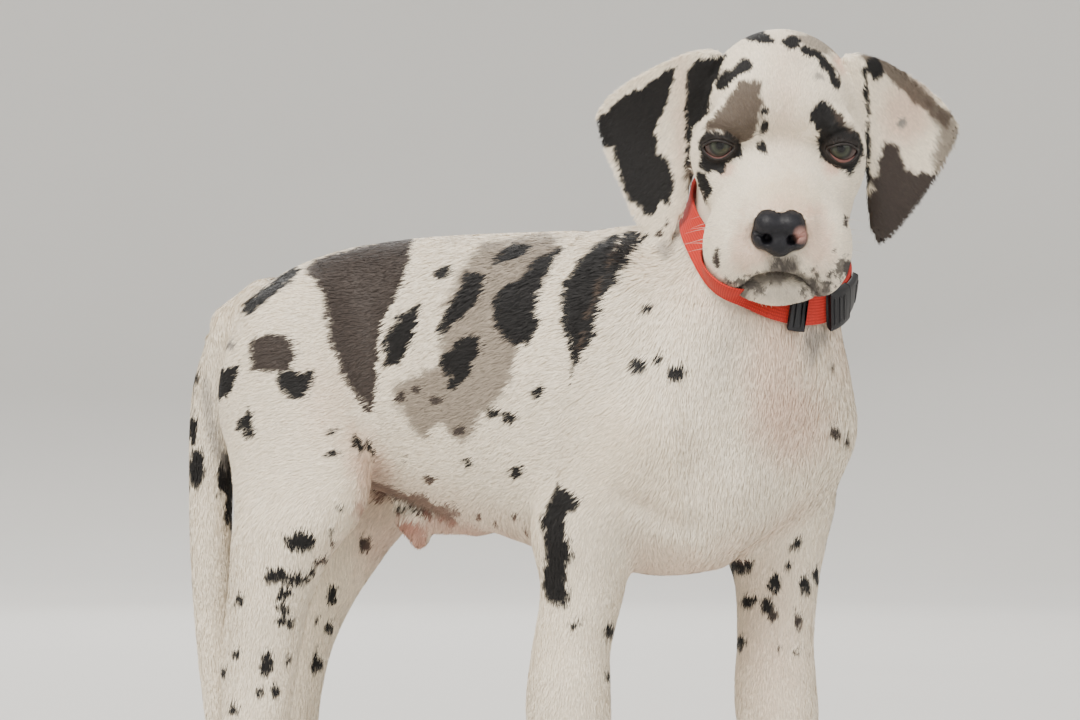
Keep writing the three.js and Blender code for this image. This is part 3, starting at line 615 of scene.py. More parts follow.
def aim(ob, where, ahead):
    ob.location = where
    ob.rotation_mode = "QUATERNION"
    ob.rotation_quaternion = Vector(ahead).to_track_quat("-Z", "Y")


def mesh_object(name, verts, faces):
    me = bpy.data.meshes.new(name)
    me.vertices.add(len(verts))
    me.vertices.foreach_set("co", to_metres(verts).astype(np.float32).ravel())
    count, sides = faces.shape
    me.loops.add(count * sides)
    me.loops.foreach_set("vertex_index", faces.astype(np.int32).ravel())
    me.polygons.add(count)
    me.polygons.foreach_set("loop_start", (np.arange(count) * sides).astype(np.int32))
    me.polygons.foreach_set("loop_total", np.full(count, sides, np.int32))
    me.polygons.foreach_set("use_smooth", np.full(count, True))
    me.update(calc_edges=True)
    return in_scene(name, me)


def set_colour(ob, name, rgb):
    a = ob.data.attributes.new(name, "FLOAT_COLOR", "POINT")
    a.data.foreach_set("color", np.c_[rgb, np.ones(len(rgb))].astype(np.float32).ravel())


def set_uv(ob, corners):
    ob.data.uv_layers.new(name="OFBake").data.foreach_set("uv", corners.astype(np.float32).ravel())


def grid_faces(rows, columns, closed=False):
    """Quads between neighbouring rings of a grid; closed joins the last ring to the first."""
    i, j = np.meshgrid(np.arange(rows if closed else rows - 1), np.arange(columns), indexing="ij")
    here, after, beside = i * columns, (i + 1) % rows * columns, (j + 1) % columns
    return np.stack([here + j, here + beside, after + beside, after + j], -1).reshape(-1, 4)


# The camera's view of the photograph
PHOTO = (1080, 720)
az = math.radians(CAMERA["azimuth"])
LOOK = np.array([-math.sin(az), math.cos(az), 0])
RIGHT = np.array([math.cos(az), math.sin(az), 0])
EYE_POINT = np.array([*CAMERA["pivot"], CAMERA["height"]], float) - CAMERA["distance"] * LOOK
PITCH = math.atan(CAMERA["horizon"] / CAMERA["focal"])
AHEAD = LOOK * math.cos(PITCH) + np.array([0, 0, math.sin(PITCH)])
UPWARD = np.cross(RIGHT, AHEAD)


def to_pixels(p):
    q = p - EYE_POINT
    d = q @ AHEAD
    x, y = CAMERA["focal"] * (q @ RIGHT) / d, CAMERA["focal"] * (q @ UPWARD) / d
    return np.stack([PHOTO[0] / 2 + x, PHOTO[1] / 2 - y], 1)


lens = bpy.data.cameras.new("camera")
lens.sensor_width, lens.lens, lens.clip_end = 36, CAMERA["focal"] / PHOTO[0] * 36, 50
camera = in_scene("camera", lens)
aim(camera, to_metres(EYE_POINT), AHEAD)
bpy.context.scene.camera = camera

# Skin
plane_n = unit(np.array(COLLAR["normal"], float))
plane_at = np.array(COLLAR["through"], float)


def head_side(p, margin):
    """Above the collar's middle, or in front of the throat on the muzzle."""
    q = to_head(p)
    grow = min(margin, 0)
    muzzle = (q[:, 0] > MUZZLE_FROM - grow) & (q[:, 2] > -76 - grow)
    on_ear = np.minimum(ears["left"](q), ears["right"](q)) < 2
    return ((p - plane_at) @ plane_n > -margin) | muzzle | on_ear


def inset(field, depth):
    return lambda p: field(p) + depth


bv, bq = surface(inset(flesh, COAT_DEPTH), [-285, -130, -4], [250, 140, 420], BODY_CELL)
bq = bq[~head_side(bv[bq].mean(1), -OVERLAP)]
hv, hq = surface(inset(flesh, HEAD_COAT_DEPTH), [70, -170, 304], [330, 90, 512], HEAD_CELL)
hq = hq[head_side(hv[hq].mean(1), OVERLAP)]
skin_points = np.vstack([bv, hv])
skin_faces = np.vstack([bq, hq + len(bv)])
used = np.unique(skin_faces)
renumber = np.full(len(skin_points), -1)
renumber[used] = np.arange(len(used))
skin_points, skin_faces = skin_points[used], renumber[skin_faces]


def near_mouth(q):
    return (q[:, 0] > 10) & (q[:, 2] < -38)


def quad_normals(verts, quads):
    return np.cross(verts[quads[:, 2]] - verts[quads[:, 0]], verts[quads[:, 3]] - verts[quads[:, 1]])


def vertex_normals(verts, quads):
    n = np.zeros_like(verts)
    f = quad_normals(verts, quads)
    for c in range(4):
        for axis in range(3):
            n[:, axis] += np.bincount(quads[:, c], f[:, axis], len(verts))
    return unit(n)


skin_normals = vertex_normals(skin_points, skin_faces)

# Which part of the animal a point belongs to
PARTS = ["trunk", "fore_right", "fore_left", "hind_right", "hind_left", "tail", "head", "ear_right",
    "ear_left"]


def part_of(p):
    q = to_head(p)
    fields = [torso(p) - 4] + [leg_fields[n](p) for n in LEGS]
    fields += [tail_near(p), np.minimum(head_plain(p), jaw(q)), ears["right"](q) + 1.5, ears["left"](q) + 1.5]
    return np.argmin(np.array(fields), 0)


# Smooth seeded noise of unit wavelength
LATTICE = RNG.random((24, 24, 24))


def lumps(p, size, seed=0):
    q = p / size + seed * 3.7
    i = np.floor(q).astype(int)
    f = q - i
    f = f * f * (3 - 2 * f)
    out = 0
    for c in range(8):
        o = np.array([c & 1, (c >> 1) & 1, c >> 2])
        w = np.prod(np.where(o, f, 1 - f), 1)
        out = out + w * LATTICE[tuple(((i + o) % 24).T)]
    return out


# Coat colours, linear
WHITE = (0.89, 0.79, 0.635)
BLACK = (0.013, 0.012, 0.012)
SADDLE = (0.052, 0.040, 0.034)
MERLE = (0.205, 0.163, 0.126)
BROWN = (0.085, 0.060, 0.044)
PINK = (0.70, 0.42, 0.31)
CREAM = (0.74, 0.57, 0.36)
GREY = (0.30, 0.27, 0.24)
NOSE_BLACK = (0.009, 0.009, 0.012)
LIP = (0.075, 0.066, 0.060)
MEAT = (0.44, 0.20, 0.15)
MOUTH = (0.03, 0.022, 0.02)
LID = (0.022, 0.017, 0.015)
NOSTRIL_PINK = (0.45, 0.24, 0.2)
STRAP_RED = (0.62, 0.035, 0.022, 1)


def spots(colour, *rows):
    """Small ovals: centre, half sizes and, if any, turn, in the photograph's pixels."""
    return [("oval", colour, *row, *[0] * (5 - len(row))) for row in rows]


# Markings, and some painted shade, seen in the photograph, in its pixels: shape, colour, an oval's centre,
# half sizes and turn, a line's width and points, or a blob's points, and last how soft the edge is and how
# strong the colour
BODY_MARKS = [
    ("oval", PINK, 775, 350, 30, 60, 8, 34, 0.40),
    ("oval", PINK, 792, 420, 36, 40, 0, 34, 0.45),
    ("oval", PINK, 840, 330, 22, 50, 0, 26, 0.20),
    ("oval", PINK, 372, 470, 20, 38, -20, 22, 0.45),
    ("oval", PINK, 330, 400, 26, 40, 0, 30, 0.15),
    ("oval", CREAM, 640, 460, 60, 50, 0, 50, 0.16),
    ("oval", GREY, 730, 340, 22, 42, 10, 36, 0.28),
    ("blob", MERLE, [470, 262, 492, 244, 537, 236, 566, 237, 556, 262, 540, 300, 522, 350, 514, 384, 498,
        402, 486, 410, 478, 432, 462, 440, 446, 424, 430, 434, 416, 432, 408, 412, 398, 400, 399, 380, 420,
        374, 442, 362, 446, 338, 450, 300], 6, 0.85),
    ("blob", SADDLE, [309, 268, 322, 258, 350, 250, 421, 232, 414, 258, 402, 290, 388, 312, 384, 336, 382,
        352, 381, 380, 376, 412, 370, 410, 362, 396, 346, 376, 337, 352, 330, 326, 328, 300, 322, 284]),
    ("line", BLACK, 12, [252, 307, 272, 290, 300, 272]),
    ("blob", SADDLE, [253, 342, 262, 334, 279, 333, 298, 338, 299, 356, 292, 368, 274, 370, 258, 370, 252,
        360]),
    ("blob", BLACK, [282, 372, 296, 371, 315, 370, 314, 386, 308, 398, 292, 398, 280, 388]),
    ("blob", BLACK, [216, 368, 228, 365, 240, 366, 236, 384, 226, 398, 216, 396, 211, 384]),
    ("blob", BLACK, [252, 406, 256, 416, 257, 434, 248, 437, 239, 426, 246, 414]),
    ("line", BLACK, 7, [219, 336, 212, 348, 207, 360]),
    ("oval", GREY, 230, 342, 8, 5, 0),
    ("blob", BLACK, [402, 314, 414, 306, 424, 305, 418, 334, 406, 360, 390, 362, 387, 340, 392, 324]),
    ("blob", BLACK, [472, 270, 490, 272, 486, 292, 472, 310, 456, 322, 444, 338, 440, 328, 452, 306, 464,
        288]),
    ("blob", BLACK, [500, 254, 518, 242, 537, 246, 530, 256, 512, 262, 499, 263]),
    ("blob", BLACK, [568, 246, 560, 262, 547, 276, 543, 300, 541, 330, 532, 344, 518, 344, 504, 332, 499,
        312, 498, 296, 512, 284, 528, 272, 544, 256]),
    ("blob", BLACK, [466, 336, 484, 334, 482, 352, 474, 372, 462, 388, 454, 390, 452, 376, 441, 364, 444,
        354, 456, 346]),
    *spots(BLACK, (514, 416, 8, 6), (496, 411, 5, 5), (471, 460, 6, 5), (519, 470, 7, 5),
        (448, 271, 7, 5, -35), (361, 444, 4, 7, -20), (372, 448, 3, 7, -20), (335, 432, 4, 4),
        (335, 454, 5, 3, -20), (543, 391, 5, 6)),
    *spots(SADDLE, (405, 396, 5, 5), (441, 399, 6, 5), (420, 388, 4, 4), (462, 429, 5, 4), (409, 454, 2, 4),
        (432, 478, 4, 4), (497, 521, 4, 4), (517, 516, 3, 3), (525, 530, 4, 3), (480, 516, 3, 3)),
    ("blob", BLACK, [616, 236, 630, 236, 618, 262, 602, 300, 588, 336, 578, 374, 573, 352, 566, 320, 568,
        282, 580, 262, 598, 246]),
    ("blob", BLACK, [634, 232, 650, 230, 640, 252, 622, 276, 606, 300, 597, 330, 586, 356, 575, 386, 573,
        372, 582, 336, 596, 300, 612, 262]),
    ("line", BROWN, 2.5, [626, 240, 608, 276, 594, 312, 584, 346], 2, 0.8),
    *spots(BLACK, (640, 363, 8, 8, 20), (661, 355, 8, 4, -20), (678, 369, 10, 7, -20), (648, 306, 6, 4, -25)),
    *spots(SADDLE, (835, 428, 6, 4, 40), (848, 437, 3, 3), (829, 364, 3, 4)),
    ("oval", GREY, 813, 338, 9, 17, 15, 8, 0.75),
    ("line", GREY, 14, [676, 236, 670, 250], 6, 0.6),
    ("blob", BLACK, [561, 482, 572, 488, 584, 499, 578, 508, 568, 516, 564, 532, 570, 544, 577, 552, 570,
        560, 564, 569, 568, 582, 574, 592, 566, 603, 552, 602, 544, 592, 545, 570, 545, 545, 544, 520, 550,
        500]),
    ("oval", MEAT, 404, 538, 26, 20, 0, 8, 0.8),
    ("line", SADDLE, 13, [378, 486, 398, 494, 424, 502, 452, 514], 4, 0.95),
    ("line", BLACK, 6, [372, 500, 400, 505, 430, 512], 3, 0.95),
    ("line", MEAT, 14, [362, 508, 400, 522, 440, 522, 500, 540], 10, 0.55),
]
LEG_MARKS = dict(
    fore_right=spots(BLACK, (576, 621, 6, 4, -15), (608, 630, 5, 9, 25), (608, 673, 4, 4)),
    fore_left=[("oval", PINK, 770, 640, 30, 90, 0, 40, 0.22)]
    + spots(BLACK, (741, 563, 11, 9), (745, 600, 5, 7, 20), (749, 600, 8, 6, -30), (774, 581, 8, 7, -45),
        (767, 601, 6, 8, 30), (740, 640, 6, 6), (805, 583, 6, 8), (815, 573, 4, 7), (795, 543, 4, 6, 40),
        (790, 563, 4, 4))
    + spots(SADDLE, (774, 612, 4, 6, 20), (797, 616, 4, 7, -15), (781, 646, 3, 4), (799, 650, 7, 3, 15)),
    hind_right=spots(BLACK, (301, 538, 17, 9), (278, 573, 13, 7, 5), (296, 577, 12, 6, -20),
        (286, 590, 9, 5, -15), (320, 557, 6, 3, -10), (313, 569, 4, 3), (282, 605, 6, 5),
        (286, 618, 8, 5, 10), (266, 659, 6, 14, 10), (289, 657, 4, 6), (260, 689, 4, 4), (276, 688, 4, 5),
        (332, 527, 3, 3), (333, 538, 3, 4), (342, 507, 4, 4), (225, 667, 4, 5), (237, 649, 4, 5),
        (240, 597, 4, 5), (234, 706, 4, 5)),
    hind_left=[("oval", MEAT, 380, 530, 30, 40, 0, 26, 0.30)]
    + spots(BLACK, (367, 542, 7, 8), (332, 594, 5, 7), (317, 615, 5, 6), (329, 624, 4, 5), (317, 661, 5, 13)),
    tail=spots(BLACK, (194, 374, 6, 11), (193, 424, 6, 13), (198, 464, 8, 20, 5), (224, 470, 8, 22, 10),
        (230, 500, 7, 26))
    + [("line", GREY, 10, [205, 380, 212, 420, 224, 460], 6, 0.6)],
)
HEAD_MARKS_AND_SHADE = [
    ("oval", CREAM, 785, 196, 30, 20, 0, 16, 0.42),
    ("oval", PINK, 752, 246, 20, 26, 20, 12, 0.45),
    ("oval", PINK, 816, 240, 16, 28, -10, 12, 0.45),
    ("oval", PINK, 782, 208, 34, 10, 0, 10, 0.30),
    ("oval", PINK, 785, 110, 14, 60, 0, 26, 0.22),
    ("oval", PINK, 728, 172, 8, 7, 0, 6, 0.60),
    ("oval", PINK, 830, 170, 8, 7, 0, 6, 0.60),
    ("oval", PINK, 848, 60, 14, 14, 30, 10, 0.65),
    ("oval", BROWN, 816, 44, 22, 9, 20, 6, 0.70),
    ("oval", BLACK, 759, 39, 13, 6, 5),
    ("oval", BLACK, 791, 44, 9, 8, 0),
    ("line", BLACK, 9, [804, 52, 817, 58, 827, 68, 837, 86]),
    ("oval", GREY, 820, 78, 5, 4, 0, 4, 0.8),
    ("blob", BLACK, [694, 66, 702, 58, 716, 55, 726, 57, 722, 72, 714, 86, 712, 100, 708, 116, 694, 126,
        690, 100, 691, 80]),
    ("line", BLACK, 11, [722, 86, 732, 76, 747, 67]),
    # Painted shadow: a dark band between the ear's front edge and the face
    ("line", BLACK, 7, [690, 92, 687, 128, 688, 170]),
    ("blob", BROWN, [752, 82, 761, 84, 762, 110, 757, 134, 742, 146, 716, 134, 702, 132, 708, 122, 722, 112,
        730, 96, 740, 86], 3, 0.95),
    ("blob", BLACK, [700, 142, 708, 134, 722, 133, 736, 138, 744, 148, 742, 158, 730, 162, 722, 174, 706,
        172, 700, 158]),
    *spots(BLACK, (765, 113, 3, 3), (764, 131, 4, 6, 10), (762, 150, 5, 7, 20)),
    ("oval", BLACK, 705, 184, 6, 17, -12),
    ("blob", BLACK, [810, 112, 816, 105, 828, 106, 840, 116, 846, 128, 858, 136, 863, 150, 858, 164, 848,
        178, 836, 166, 820, 160, 814, 146, 816, 132, 809, 124]),
    ("line", BROWN, 6, [834, 117, 848, 130], 4, 0.6),
    # Painted shadow: a dark line between the other ear's front edge and the face
    ("line", BLACK, 5, [864, 70, 867, 110, 868, 150, 865, 186]),
    *spots(SADDLE, (717, 260, 4, 9, 5), (847, 266, 4, 9), (845, 222, 3, 5)),
    ("oval", LIP, 782, 266, 17, 11, 0, 8, 0.80),
    ("line", LIP, 12, [741, 297, 754, 283, 770, 276, 794, 276, 811, 283, 823, 295], 7, 0.85),
    # Painted shade: the chin under the lips, greyed where it lies in shadow
    ("oval", GREY, 786, 294, 28, 9, 0, 9, 0.50),
    ("oval", GREY, 826, 284, 18, 18, 0, 10, 0.20),
]
MOTTLE = [(750, 284, 26, 13), (816, 284, 30, 16), (783, 266, 16, 12), (835, 270, 14, 18)]
EAR_MARKS_AND_SHADE = dict(
    ear_right=[
        ("oval", PINK, 684, 110, 9, 60, 0, 12, 0.25),
        ("blob", BLACK, [678, 64, 655, 78, 625, 95, 592, 124, 602, 140, 614, 148, 619, 168, 630, 196, 645,
            212, 656, 214, 661, 198, 671, 203, 677, 184, 670, 158, 659, 149, 657, 128, 666, 106, 674, 84]),
        *spots(SADDLE, (661, 232, 4, 7), (672, 241, 5, 6), (668, 222, 3, 4)),
        # The ear's black patch; its narrow strip lower down is painted shadow between the ear and the face
        ("blob", BLACK, [688, 72, 697, 58, 712, 54, 728, 56, 724, 72, 716, 88, 712, 104, 706, 118, 696, 128,
            692, 172, 686, 172, 686, 104]),
        # Painted shade: the side of the cheek beside the ear, brown where it lies in shadow
        ("line", BROWN, 11, [691, 170, 696, 205, 704, 244], 4, 0.95),
    ],
    ear_left=[
        ("oval", PINK, 905, 110, 24, 30, 20, 18, 0.45),
        ("line", BROWN, 16, [862, 50, 884, 64, 912, 88, 942, 116], 4, 0.9),
        ("oval", BLACK, 874, 66, 9, 12, -20),
        ("blob", BROWN, [926, 100, 946, 114, 964, 132, 956, 150, 946, 172, 930, 172, 934, 150, 936, 128], 8,
            0.75),
        ("blob", SADDLE, [880, 148, 889, 142, 898, 146, 902, 164, 914, 172, 932, 170, 950, 170, 936, 196,
            912, 222, 880, 252, 866, 234, 864, 208, 872, 178], 3, 1.0),
        *spots(GREY, (901, 121, 4, 5)),
        # Painted shadow: a dark line between the ear's front edge and the face
        ("line", BLACK, 5, [864, 66, 867, 120, 866, 196]),
    ],
)
HIDDEN_HEAD = [(-45, 30, 40, 30, 24, 22, BLACK), (-30, -30, 50, 34, 20, 16, BLACK),
    (-50, -10, 5, 20, 26, 30, GREY), (-20, 44, 0, 26, 14, 30, BLACK)]


def shape_distance(mark, px):
    kind = mark[0]
    if kind == "oval":
        cx, cy, rx, ry, turn = mark[2:7]
        c, s = math.cos(math.radians(turn)), math.sin(math.radians(turn))
        d = px - np.array([cx, cy])
        u, v = d[:, 0] * c + d[:, 1] * s, -d[:, 0] * s + d[:, 1] * c
        return (np.hypot(u / rx, v / ry) - 1) * min(rx, ry), mark[7:]
    if kind == "line":
        width, points = mark[2], np.array(mark[3], float).reshape(-1, 2)
        best = np.full(len(px), 1e9)
        for a, b in zip(points[:-1], points[1:]):
            e = b - a
            t = np.clip((px - a) @ e / (e @ e), 0, 1)
            best = np.minimum(best, np.linalg.norm(px - a - t[:, None] * e, axis=1))
        return best - width / 2, mark[4:]
    return inside_distance(px, np.array(mark[2], float).reshape(-1, 2)), mark[3:]


def mixed(rgb, t, colour):
    return rgb + t[:, None] * (np.array(colour) - rgb)


def paint_marks(rgb, where, marks, px, ragged):
    at = np.nonzero(where)[0]
    if not len(at):
        return
    for mark in marks:
        d, more = shape_distance(mark, px[at])
        soft, strength = more if len(more) else (1.2, 1.0)
        d = d + ragged[at] * (1 if soft < 3 else 1.5)
        t = np.clip(0.5 - d / soft, 0, 1) * strength
        rgb[at] = mixed(rgb[at], t, mark[1])


def coat_colour(p, n, part):
    rgb = np.tile(np.array(WHITE), (len(p), 1))
    px = to_pixels(p)
    facing = (unit(EYE_POINT - p) * n).sum(1)
    seen = facing > 0.0
    ragged = 6.0 * (lumps(p, 5.5, 1) - 0.5) + 4.0 * (lumps(p, 2.2, 2) - 0.5)
    rgb *= (0.94 + 0.12 * lumps(p, 38, 3))[:, None]
    label = np.array(PARTS)[part]
    on_body = np.isin(label, ["trunk", "fore_right", "fore_left", "hind_right", "hind_left", "tail"])
    far_leg = np.isin(label, ["fore_left", "hind_left"]) & (p[:, 2] < 205)
    flank = seen & on_body & ~far_leg & (label != "tail")
    paint_marks(rgb, flank, BODY_MARKS, px, ragged)
    for name, marks in LEG_MARKS.items():
        paint_marks(rgb, seen & (label == name), marks, px, ragged)
    paint_marks(rgb, (label == "head") & (facing > -0.1), HEAD_MARKS_AND_SHADE, px, ragged * 0.75)
    speck = (lumps(p, 1.9, 21) + 0.6 * lumps(p, 4.5, 22)) / 1.6
    for x, y, rx, ry in MOTTLE:
        inside = np.clip(1.25 - np.hypot((px[:, 0] - x) / rx, (px[:, 1] - y) / ry), 0, 1)
        t = np.clip((speck - 0.76 + 0.42 * inside) * 8, 0, 0.88) * (inside > 0) * (label == "head") * seen
        rgb = mixed(rgb, t, LIP)
    for name, marks in EAR_MARKS_AND_SHADE.items():
        paint_marks(rgb, label == name, marks, px, ragged * 0.8)
    hidden = on_body & ~seen
    grey = lumps(p, 62, 5) + 0.25 * lumps(p, 17, 6)
    t = np.clip((grey - 0.80) * 16, 0, 1) * hidden * 0.7
    rgb = mixed(rgb, t, MERLE)
    spot = lumps(p, 27, 7) + 0.22 * lumps(p, 7, 8)
    spot += 0.35 * np.exp(-(((p[:, 0] + 96) / 34) ** 2) - ((p[:, 2] - 360) / 60) ** 2)
    t = np.clip((spot - 0.80) * 22, 0, 1) * hidden
    rgb = mixed(rgb, t, BLACK)
    q = to_head(p)
    for x, y, z, rx, ry, rz, colour in HIDDEN_HEAD:
        d = (np.linalg.norm((q - np.array([x, y, z])) / np.array([rx, ry, rz]), axis=1) - 1) * 14 + ragged
        t = np.clip(0.5 - d / 2, 0, 1) * ((label == "head") & (facing < 0.05))
        rgb = mixed(rgb, t, colour)
    for s in (1, -1):
        at, m = eye_frame(s)
        close = ((q - at) ** 2).sum(1) < 24**2
        e = (q[close] - at) @ m
        t = np.clip((3.4 - inside_distance(e[:, 1:], ALMOND)) / 1.8, 0, 0.96) * (e[:, 0] > 0)
        rgb[close] = mixed(rgb[close], t, LID)
    belly = np.clip((-n[:, 2] - 0.45) * 2, 0, 1) * (on_body & (p[:, 2] > 120) & (p[:, 2] < 240))
    return mixed(rgb, 0.35 * belly, PINK)


skin_part = part_of(skin_points)
skin_rgb = coat_colour(skin_points, skin_normals, skin_part)
head_q = to_head(skin_points)
mouth = np.abs(np.minimum(bare_flesh(skin_points), 9) - jaw(head_q))
in_mouth = 0.85 * np.exp(-((mouth / 1.4) ** 2)) * (skin_part == PARTS.index("head"))
in_mouth *= near_mouth(head_q)
skin_rgb = mixed(skin_rgb, in_mouth, MOUTH)


# An unwrap of the skin by part and by the side it faces, packed in rows, for the coat's colours
def unwrap_boxes(p, n, part):
    side = np.argmax(np.abs(n), 1)
    side = side * 2 + (np.take_along_axis(n, side[:, None], 1)[:, 0] > 0)
    group = part * 6 + side
    axes = np.array([(1, 2), (0, 2), (0, 1)])[side // 2]
    return group, np.take_along_axis(p, axes, 1)


def lay_out(group, flat):
    places, x, y, row = {}, 0.0, 0.0, 0.0
    boxes = [(flat[group == g].min(0), flat[group == g].max(0), g) for g in np.unique(group)]
    span = 1.12 * math.sqrt(sum((hi - lo + 6).prod() for lo, hi, _ in boxes))
    for lo, hi, g in sorted(boxes, key=lambda b: -(b[1] - b[0])[1]):
        w, h = hi - lo + 6
        if x + w > span:
            x, y, row = 0.0, y + row, 0.0
        places[int(g)] = (x + 3 - lo[0], y + 3 - lo[1])
        x, row = x + w, max(row, h)
    return places, max(span, y + row)


face_n = unit(quad_normals(skin_points, skin_faces))
face_part = skin_part[skin_faces[:, 0]]
PLACES, SPAN = lay_out(*unwrap_boxes(skin_points[skin_faces].mean(1), face_n, face_part))
PLACE_OF = np.array([PLACES.get(g, (0, 0)) for g in range(len(PARTS) * 6)])


def unwrap(p, n, part):
    group, flat = unwrap_boxes(p, n, part)
    return (flat + PLACE_OF[group]) / SPAN


skin = mesh_object("skin", skin_points, skin_faces)
set_colour(skin, "tint", skin_rgb)
corner_uv = unwrap(skin_points[skin_faces].reshape(-1, 3), np.repeat(face_n, 4, 0), np.repeat(face_part, 4))
set_uv(skin, np.clip(corner_uv, 0, 1))


# Materials
def material(name, rough=0.6, gloss=0.3):
    m = bpy.data.materials.new(name)
    m.use_nodes = True
    nodes, links = m.node_tree.nodes, m.node_tree.links
    shader = nodes["Principled BSDF"]
    shader.inputs["Roughness"].default_value = rough
    shader.inputs["Specular IOR Level"].default_value = gloss
    return m, nodes, links, shader


def add_node(nodes, kind, **inputs):
    node = nodes.new(kind)
    for key, value in inputs.items():
        node.inputs[key].default_value = value
    return node


def grain(nodes, links, scale, detail=3):
    where = nodes.new("ShaderNodeTexCoord")
    noise = add_node(nodes, "ShaderNodeTexNoise", Scale=scale, Detail=detail)
    links.new(where.outputs["Object"], noise.inputs["Vector"])
    return noise


def shade(nodes, links, shader, colour, level, low, high):
    """Base colour: colour scaled between low and high by level."""
    ramp = nodes.new("ShaderNodeMapRange")
    ramp.inputs["To Min"].default_value, ramp.inputs["To Max"].default_value = low, high
    links.new(level, ramp.inputs["Value"])
    mix = nodes.new("ShaderNodeVectorMath")
    mix.operation = "SCALE"
    links.new(colour, mix.inputs[0])
    links.new(ramp.outputs["Result"], mix.inputs["Scale"])
    links.new(mix.outputs["Vector"], shader.inputs["Base Color"])


def flat_colour(nodes, rgba):
    base = nodes.new("ShaderNodeRGB")
    base.outputs[0].default_value = rgba
    return base.outputs[0]


def bump(nodes, links, shader, height, strength, distance):
    b = add_node(nodes, "ShaderNodeBump", Strength=strength, Distance=distance)
    links.new(height, b.inputs["Height"])
    links.new(b.outputs["Normal"], shader.inputs["Normal"])


def tinted(name, rough, scale, low, high, strength=0.0, distance=0.0004, gloss=0.3):
    m, nodes, links, shader = material(name, rough, gloss)
    tint = nodes.new("ShaderNodeAttribute")
    tint.attribute_name = "tint"
    noise = grain(nodes, links, scale)
    shade(nodes, links, shader, tint.outputs["Color"], noise.outputs["Fac"], low, high)
    if strength:
        bump(nodes, links, shader, noise.outputs["Fac"], strength, distance)
    return m


def plain(name, colour, rough, scale, spread, strength, distance):
    m, nodes, links, shader = material(name, rough)
    noise = grain(nodes, links, scale)
    base = flat_colour(nodes, (*colour, 1))
    shade(nodes, links, shader, base, noise.outputs["Fac"], 1 - spread, 1 + spread)
    bump(nodes, links, shader, noise.outputs["Fac"], strength, distance)
    return m


skin_look = tinted("skin_look", 0.62, 700, 0.72, 1.02, 0.6, 0.0006)
coat_look = tinted("coat_look", 0.55, 300, 0.88, 1.12, gloss=0.22)


def finish_piece(ob, look, slot, *stands_for):
    ob.data.materials.append(look)
    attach(ob, "root")
    if stands_for:
        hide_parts(*stands_for)


finish_piece(skin, skin_look, "coat", *FLESH)

# Coat: short flat tufts, their length in mm and number per mm2
LENGTH = dict(trunk=7.0, fore_right=5.2, fore_left=5.2, hind_right=5.8, hind_left=5.8, tail=6.5, head=3.6,
    ear_right=4.0, ear_left=4.0)
PER_MM2 = dict(trunk=0.72, fore_right=0.85, fore_left=0.85, hind_right=0.8, hind_left=0.8, tail=0.9,
    head=1.9, ear_right=1.5, ear_left=1.5)


def coat_lie(p, n, label):
    q = to_head(p)
    d = np.tile(np.array([-1.0, 0, -0.38]), (len(p), 1))
    t = np.clip((p[:, 0] - 95) / 60, 0, 1)[:, None]
    d += t * (np.array([-0.15, 0, -1.1]) - d)
    low = np.clip((225 - p[:, 2]) / 50, 0, 1)[:, None] * (label != "tail")[:, None]
    d += low * (np.array([-0.12, 0, -1]) - d)
    foot = np.clip((42 - p[:, 2]) / 20, 0, 1)[:, None]
    d += foot * (np.array([0.55, -0.2, -0.6]) - d)
    d[label == "tail"] = (-0.03, 0, -1)
    over = label == "head"
    h = q[over] - np.array([112, 0, 2])
    h = unit(h) + np.array([-0.5, 0, -0.15])
    d[over] = h @ HEAD.T
    for name, s in (("ear_right", -1), ("ear_left", 1)):
        d[label == name] = np.array([-0.1, s * 0.55, -0.85]) @ HEAD.T
    d += 0.35 * (np.stack([lumps(p, 24, k) for k in (11, 12, 13)], 1) - 0.5)
    return unit(d - (d * n).sum(1)[:, None] * n)


